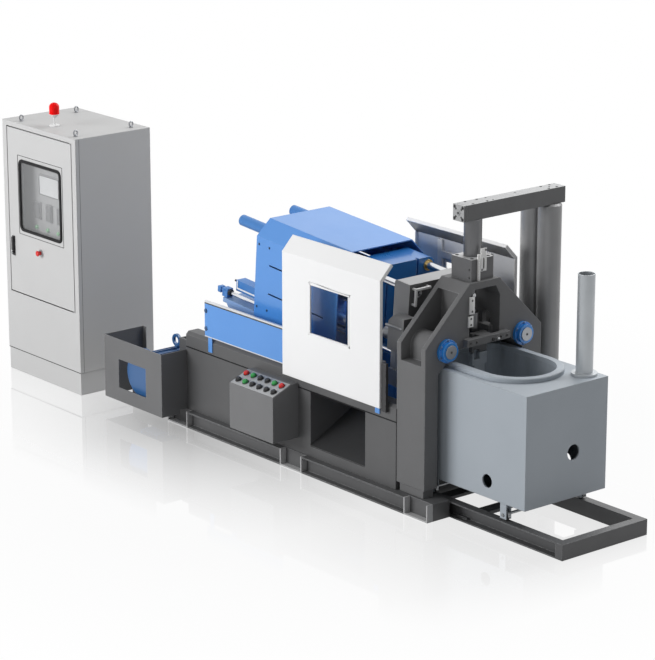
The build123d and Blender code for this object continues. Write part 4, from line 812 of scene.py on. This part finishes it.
class CASTING_OT_beacon(bpy.types.Operator):
    """Put the ribbed dome and its stem on the cabinet's roof"""

    bl_idname = "casting.beacon"
    bl_label = "Beacon"

    def execute(self, context):
        low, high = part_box("beacon_lamp")
        x, y = (low.x + high.x) / 2, (low.y + high.y) / 2
        radius, tall = (high.x - low.x) * 0.61, high.z - low.z
        dome = cap("beacon_dome", radius, tall, 0.40, 48)
        pick_faces(dome, lambda c, n: abs(n.z) < 0.1 and c.z < 0.04)
        bpy.ops.mesh.subdivide(number_cuts=4)
        bpy.ops.object.mode_set(mode="OBJECT")
        rib_pitch, rib_depth = 0.012, 0.018
        for vertex in dome.data.vertices:
            if 0.004 < vertex.co.z < tall * 0.55:
                wave = 1.0 - rib_depth * (0.5 - 0.5 * math.cos(vertex.co.z * math.tau / rib_pitch))
                vertex.co.x *= wave
                vertex.co.y *= wave
        done(dome)
        dome.data.transform(Matrix.Translation((x, y, low.z)))
        dress(dome, "beacon")
        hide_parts("beacon_lamp")
        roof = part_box("beacon_base")[0].z
        clear_height = low.z - roof
        foot = cap("beacon_stem", radius, 0.012, 0.7, 40)
        stem = cap("beacon_tube", 0.0075, clear_height - 0.004, 0.02, 24)
        collar = cap("beacon_collar", radius * 1.03, 0.022, 0.10, 40)
        pick_faces(collar, lambda c, n: n.z < -0.9)
        bpy.ops.transform.resize(value=(0.5, 0.5, 1.0), center_override=(0, 0, 0))
        done(collar)
        collar.data.transform(Matrix.Translation((0, 0, clear_height - 0.0215)))
        post = joined(foot, [stem, collar])
        post.data.transform(Matrix.Translation((x, y, roof)))
        dress(post, "collar")
        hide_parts("beacon_base")
        return {"FINISHED"}


class CASTING_OT_lifting_eyes(bpy.types.Operator):
    """Screw ring eyes into the cabinet's roof"""

    bl_idname = "casting.lifting_eyes"
    bl_label = "Lifting eyes"

    def execute(self, context):
        low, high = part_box("lifting_eyes")
        start()
        bpy.ops.mesh.primitive_torus_add(major_radius=0.0145, minor_radius=0.0048, major_segments=40,
                                         minor_segments=14, location=(0, 0, 0.027),
                                         rotation=(0, math.pi / 2, 0))
        ring = settle("ring_eyes")
        pick_faces(ring, lambda c, n: c.z < 0.016)
        bpy.ops.transform.resize(value=(1.25, 1.25, 1.0), center_override=(0, 0, 0.012))
        done(ring)
        foot = cap("ring_foot", 0.013, 0.009, 0.3, 24)
        shank = cap("ring_shank", 0.007, 0.016, 0.1, 20)
        half_x, half_y = 0.013, 0.020
        spots = [Matrix.Translation((x, y, low.z)) for x in (low.x + half_x, high.x - half_x)
                 for y in (low.y + half_y, high.y - half_y)]
        eyes = repeated(joined(ring, [foot, shank]), spots)
        dress(eyes, "steel")
        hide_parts("lifting_eyes")
        return {"FINISHED"}


class CASTING_OT_manifold_screws(bpy.types.Operator):
    """Screw the end cap, the port and the top plugs of the oil manifold and the block below it"""

    bl_idname = "casting.manifold_screws"
    bl_label = "Manifold screws"

    def execute(self, context):
        low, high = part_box("oil_manifold")
        x, z = (low.x + high.x) / 2, (low.z + high.z) / 2
        corners = [(a, b) for a in (-1, 1) for b in (-1, 1)]

        def at_corners(reach):
            return [(x + a * reach, low.y, z + b * reach) for a, b in corners]

        fasten("manifold_end_screws", at_corners(0.036), forward, 0.0085, 0.0015)
        ring = band("manifold_port_ring", (x, low.y - 0.002, z), (0, 1, 0), 0.0135, 0.0085, 0.005)
        dress(ring, "zinc")
        fasten("manifold_port_plug", [(x, low.y - 0.0005, z)], forward, 0.0080, 0.002)
        fasten("manifold_port_screws", at_corners(0.024), forward, 0.0038, 0.0012)
        wide = ((1.068, -0.035), (1.068, 0.060), (1.140, -0.035), (1.140, 0.080),
                (1.070, 0.590), (1.070, 0.663), (1.136, 0.595), (1.136, 0.663))
        small = ((1.136, 0.131), (1.070, 0.131), (1.090, 0.355), (1.104, 0.630))
        for name, places, radius in (("manifold_top_screws", wide, 0.0075),
                                     ("manifold_top_plugs", small, 0.0045)):
            fasten(name, [(*place, high.z) for place in places], upward, radius, 0.001)
        low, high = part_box("injection_block")
        side = [(high.x - 0.020, low.y, low.z + height) for height in (0.022, 0.072)]
        fasten("block_side_screws", side, forward, 0.005, 0.001)
        top = [(x + a * 0.066, b * 0.066, high.z) for a, b in corners]
        fasten("block_top_screws", top, upward, 0.009, 0.002)
        return {"FINISHED"}


class CASTING_OT_frame_screws(bpy.types.Operator):
    """Screw the clamp bar, the rod nuts and the frame's fittings"""

    bl_idname = "casting.frame_screws"
    bl_label = "Frame screws"

    def execute(self, context):
        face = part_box("clamp_bar")[1].x
        spots = [(face, y, 1.046) for y in (-0.150, -0.100, 0.100, 0.150)]
        fasten("clamp_bar_screws", spots, rightward, 0.0085, 0.001)
        boss = cap("clamp_bar_boss", 0.012, 0.006, 0.3)
        boss.data.transform(facing((face, 0.036, 1.041), rightward))
        dress(boss, "bolt")
        fasten("clamp_bar_stud", [(face, 0.070, 1.040)], rightward, 0.010, 0.014, "zinc", hexagon=True)
        low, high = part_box("pull_rods")
        rod_height = (low.z + high.z) / 2
        reach = high.y - (high.z - low.z) / 2
        fasten("rod_centres", [(high.x, y, rod_height) for y in (-reach, reach)], rightward, 0.0065, 0.001)
        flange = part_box("frame_nuts")[0].x + 0.020
        circle = 0.0655
        for name, side in (("front_nut_screws", -1), ("rear_nut_screws", 1)):
            ring = [(flange, side * reach + circle * math.cos(turn), rod_height + circle * math.sin(turn))
                    for turn in (math.tau * (i + 0.5) / 6 for i in range(6))]
            fasten(name, ring, rightward, 0.0045, 0.003, "cover")
        return {"FINISHED"}


class CASTING_OT_clamp_screws(bpy.types.Operator):
    """Screw the clamp cover and the rail panels, and fit the latch shaft"""

    bl_idname = "casting.clamp_screws"
    bl_label = "Clamp screws"

    def execute(self, context):
        cover = [clamp_plane @ Vector((u, 0, v))
                 for u in (-0.550, -0.445, -0.150, 0.200) for v in (-0.245, 0.176)]
        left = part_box("rail_panels")[0].x + 0.013
        panel = [Vector((left, 0, z)) for z in (0.715, 0.835)]
        for solid, label, places, radius, height in (("clamp_cover", "cover", cover, 0.0055, 0.0015),
                                                     ("rail_panels", "panel", panel, 0.0065, 0.004)):
            for side, name in enumerate(("front", "rear")):
                spots = [(place.x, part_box(solid)[side].y, place.z) for place in places]
                fasten(f"{label}_{name}_screws", spots, (0, 2 * side - 1, 0), radius, height, "motor")
        near, far = Vector((0.743, -0.375, 1.0956)), Vector((0.892, -0.375, 1.0907))
        latch = drum("latch_shaft", (near + far) / 2, far - near, 0.009, (far - near).length, 28, 0.002)
        dress(latch, "zinc")
        return {"FINISHED"}


class CASTING_OT_rail_trim(bpy.types.Operator):
    """Run the trim lines along the rail panels and the bed's edge bands; the dark ones are painted shadow"""

    bl_idname = "casting.rail_trim"
    bl_label = "Rail trim"

    def execute(self, context):
        def strip(name, side, x, face, proud, z, bevel):
            span = sorted((face - side * 0.003, face + side * proud))
            return block(f"{name}_{side}", (x[0], span[0], z[0]), (x[1], span[1], z[1]), bevel, 1)

        low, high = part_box("rail_panels")
        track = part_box("door_tracks")[0].z
        band_low, band_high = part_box("bed_bands")
        dark, pale, gap_shadows = [], [], []
        for side, door, face, bed in ((-1, "front_door", low.y, band_low.y),
                                      (1, "rear_door", high.y, band_high.y)):
            x = (low.x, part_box(door)[1].x)
            dark.append(strip("track_shadow", side, x, face, 0.0012, (track - 0.006, track), 0.0004))
            pale.append(strip("panel_edge", side, x, face, 0.0012, (0.660, 0.6665), 0.0006))
            # Dark strip below the bed's edge band: painted shadow of the gap there.
            gap_shadows.append(strip("band_shadow_gap", side, (band_low.x, band_high.x), bed, 0.0006,
                                (band_low.z - 0.008, band_low.z + 0.001), 0.0003))
        dress(grouped("track_shadow_lines", dark), "stop")
        dress(grouped("panel_edges", pale), "track")
        dress(grouped("band_shadow_gap", gap_shadows), "rubber")
        return {"FINISHED"}


class CASTING_OT_closing_ram(bpy.types.Operator):
    """Build the ram beside the clamp foot and the lips of the covers above it"""

    bl_idname = "casting.closing_ram"
    bl_label = "Closing ram"

    def execute(self, context):
        def on_clamp(piece, finish):
            piece.data.transform(clamp_plane)
            return dress(piece, finish)

        y, v = -0.295, -0.263
        head = block("ram_head", (-1.010, y - 0.021, v - 0.021), (-0.976, y + 0.021, v + 0.021), 0.004)
        neck = drum("ram_neck", (-0.965, y, v), rightward, 0.013, 0.030)
        clevis = block("ram_clevis", (-0.956, y - 0.026, v - 0.035), (-0.900, y + 0.026, v + 0.026), 0.005)
        sunk(clevis, 0.012, 0.006)
        ram = on_clamp(grouped("closing_ram", [head, neck, clevis]), "cover")
        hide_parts("closing_cylinder")
        on_clamp(drum("ram_rod", (-0.740, y, v), rightward, 0.0135, 0.330), "chrome")
        nuts = [(-0.900, y, v), (-0.598, y, v)]
        on_clamp(screws("ram_nuts", nuts, rightward, 0.024, 0.016, hexagon=True), "bolt")
        left, corner, right = -0.890, -0.880, -0.577
        foot, shoulder, top = -0.244, -0.233, -0.186
        lips = []
        for side in (-1, 1):
            near, far = sorted((side * 0.246, side * 0.2515))
            lips.append(block(f"lip_end_{side}", (left, near, foot), (corner, far, top), 0.001, 1))
            lips.append(block(f"lip_foot_{side}", (corner, near, foot), (right, far, shoulder), 0.001, 1))
        on_clamp(grouped("cover_lips", lips), "white")
        ends = [(-0.899, side * 0.240, -0.194) for side in (-1, 1)]
        on_clamp(screws("cover_bolts", ends, (-1, 0, 0), 0.008, 0.020, hexagon=True), "bolt")
        return {"FINISHED"}


class CASTING_OT_stroke_sensors(bpy.types.Operator):
    """Build the stroke scale, its reader and the two limit switches"""

    bl_idname = "casting.stroke_sensors"
    bl_label = "Stroke sensors"

    def execute(self, context):
        low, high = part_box("injection_block")
        face, base = high.x, low.z
        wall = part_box("injection_frame")[1].x
        reader, switch = face + 0.007, wall + 0.011
        scale = block("stroke_scale", (face, -0.046, base), (face + 0.010, -0.026, base + 0.166), 0.0015)
        bars = ((-0.019, -0.003, 0.056, 0.198), (0.010, 0.026, 0.056, 0.198), (-0.003, 0.010, 0.056, 0.071),
                (-0.003, 0.010, 0.141, 0.198))
        rails = [block(f"reader_{i}", (face, near, base + foot), (reader, far, base + top), 0.001)
                 for i, (near, far, foot, top) in enumerate(bars)]
        upper = block("upper_switch", (wall, -0.130, 1.215), (switch, -0.090, 1.322), 0.002)
        lower = block("lower_switch", (wall, -0.138, 1.135), (switch, -0.100, 1.203), 0.002)
        sensors = grouped("stroke_sensors_dressed", [scale, *rails, upper, lower])
        dress(sensors, "sensor")
        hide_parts("stroke_sensors")
        tick = block("scale_ticks", (0, 0, 0), (0.0006, 0.009, 0.0012), 0.0002, 1)
        spots = [Matrix.Translation((face + 0.0098, -0.044, base + 0.012 + 0.010 * i)) for i in range(15)]
        dress(repeated(tick, spots), "bolt")
        roller = drum("switch_roller", (wall + 0.006, -0.094, 1.330), rightward, 0.012, 0.010)
        dress(roller, "zinc")
        heads = [(switch, y, z)
                 for y, z in ((-0.110, 1.232), (-0.110, 1.300), (-0.119, 1.150), (-0.119, 1.188))]
        heads += [(reader, -0.011, base + 0.066), (reader, 0.018, base + 0.186)]
        fasten("sensor_screws", heads, rightward, 0.004, 0.0015)
        return {"FINISHED"}


class CASTING_OT_stage(bpy.types.Operator):
    """Set up the floor, the light and the camera"""

    bl_idname = "casting.stage"
    bl_label = "Stage"

    def execute(self, context):
        start()
        bpy.ops.mesh.primitive_plane_add(size=120.0, location=(0, 0, -0.0005))
        floor = settle("studio_floor")
        f = Finish("studio_floor")
        where = f.place()
        along, across = f.axis(where, "X"), f.axis(where, "Y")
        away = f.node("ShaderNodeVectorMath", {"operation": "LENGTH"}, {0: where}, "Value")
        white = (1.0, 1.0, 1.0)
        matt = f.node("ShaderNodeBsdfPrincipled", None,
                      {"Base Color": (0.60, 0.60, 0.605), "Roughness": 0.6, "Specular IOR Level": 0.2})
        glow = f.node("ShaderNodeEmission", None, {"Color": white, "Strength": 1.0})
        mirror = f.node("ShaderNodeBsdfGlossy", None, {"Color": white, "Roughness": 0.03})
        pale = f.layered(0.93 + f.ramp(away, 2.2, 4.0) * 0.07, matt, glow)
        ahead = f.ramp(-0.6 - across, 0.0, 1.15)
        behind = f.ramp(across - 0.5, 0.0, 1.15)
        beside = f.ramp(along - 2.2, 0.0, 0.6)
        share = 0.36 + f.ramp(along, -2.3, -1.3) * 0.24 - f.ramp(along, -1.1, 0.9) * 0.43
        sheen = (1.0 - ahead) * (1.0 - behind) * (1.0 - beside) * share
        polished = f.layered(sheen, pale, mirror)
        floor.data.materials.append(f.end(f.layered(f.seen(), matt, polished)))

        sky = Finish("studio", world=True)
        gathered, shown = (sky.node("ShaderNodeBackground", None, {"Color": white, "Strength": strength})
                           for strength in (0.25, 1.0))
        context.scene.world = sky.end(sky.layered(sky.seen(), gathered, shown))

        def aimed(name, data, place, aim):
            holder = bpy.data.objects.new(name, data)
            context.scene.collection.objects.link(holder)
            holder.location = place
            holder.rotation_euler = (Vector(aim) - Vector(place)).to_track_quat("-Z", "Y").to_euler()
            return holder

        def softbox(name, place, aim, size, watts, shine):
            data = bpy.data.lights.new(name, "AREA")
            data.shape = "RECTANGLE"
            data.size, data.size_y = size
            data.energy = watts
            aimed(name, data, place, aim).visible_glossy = shine

        softbox("key", (-4.6, -10.2, 4.6), (-0.3, 0.0, 0.6), (6.5, 4.0), watts=1050, shine=False)
        softbox("top", (0.2, 5.2, 6.8), (0.0, 0.0, 0.6), (8.0, 5.0), watts=640, shine=True)

        sensor, focal_pixels, frame_pixels = 36.0, 2841.917, 660.0
        camera = bpy.data.cameras.new("camera")
        camera.sensor_width = sensor
        camera.sensor_fit = "AUTO"
        camera.lens = sensor * focal_pixels / frame_pixels
        camera.clip_end = 400.0
        context.scene.camera = aimed("camera", camera, (13.3563, -11.2503, 5.8744), (-0.2721, 0.0, 0.7619))
        context.scene.view_settings.view_transform = "Standard"
        return {"FINISHED"}


class CASTING_PT_panel(bpy.types.Panel):
    """Lists the steps that dress the machine"""

    bl_label = "Die casting machine"
    bl_idname = "CASTING_PT_panel"
    bl_space_type = "VIEW_3D"
    bl_region_type = "UI"
    bl_category = "Casting"

    def draw(self, context):
        for step in steps:
            self.layout.operator(step.bl_idname)
        for group in (context.scene.casting_paints, context.scene.casting_sizes):
            for key in group.__annotations__:
                self.layout.prop(group, key)


steps = (CASTING_OT_finishes, CASTING_OT_door_frames, CASTING_OT_cabinet_glazing, CASTING_OT_cabinet_controls,
         CASTING_OT_instruments, CASTING_OT_console, CASTING_OT_beacon, CASTING_OT_lifting_eyes,
         CASTING_OT_manifold_screws, CASTING_OT_frame_screws, CASTING_OT_clamp_screws, CASTING_OT_rail_trim,
         CASTING_OT_closing_ram, CASTING_OT_stroke_sensors, CASTING_OT_stage)
classes = (CastingPaints, CastingSizes, *steps, CASTING_PT_panel)


def register():
    for cls in classes:
        bpy.utils.register_class(cls)
    bpy.types.Scene.casting_paints = PointerProperty(type=CastingPaints)
    bpy.types.Scene.casting_sizes = PointerProperty(type=CastingSizes)


def unregister():
    del bpy.types.Scene.casting_sizes
    del bpy.types.Scene.casting_paints
    for cls in reversed(classes):
        bpy.utils.unregister_class(cls)


def main():
    register()
    for step in steps:
        group, name = step.bl_idname.split(".")
        getattr(getattr(bpy.ops, group), name)()


if __name__ == "__main__":
    main()
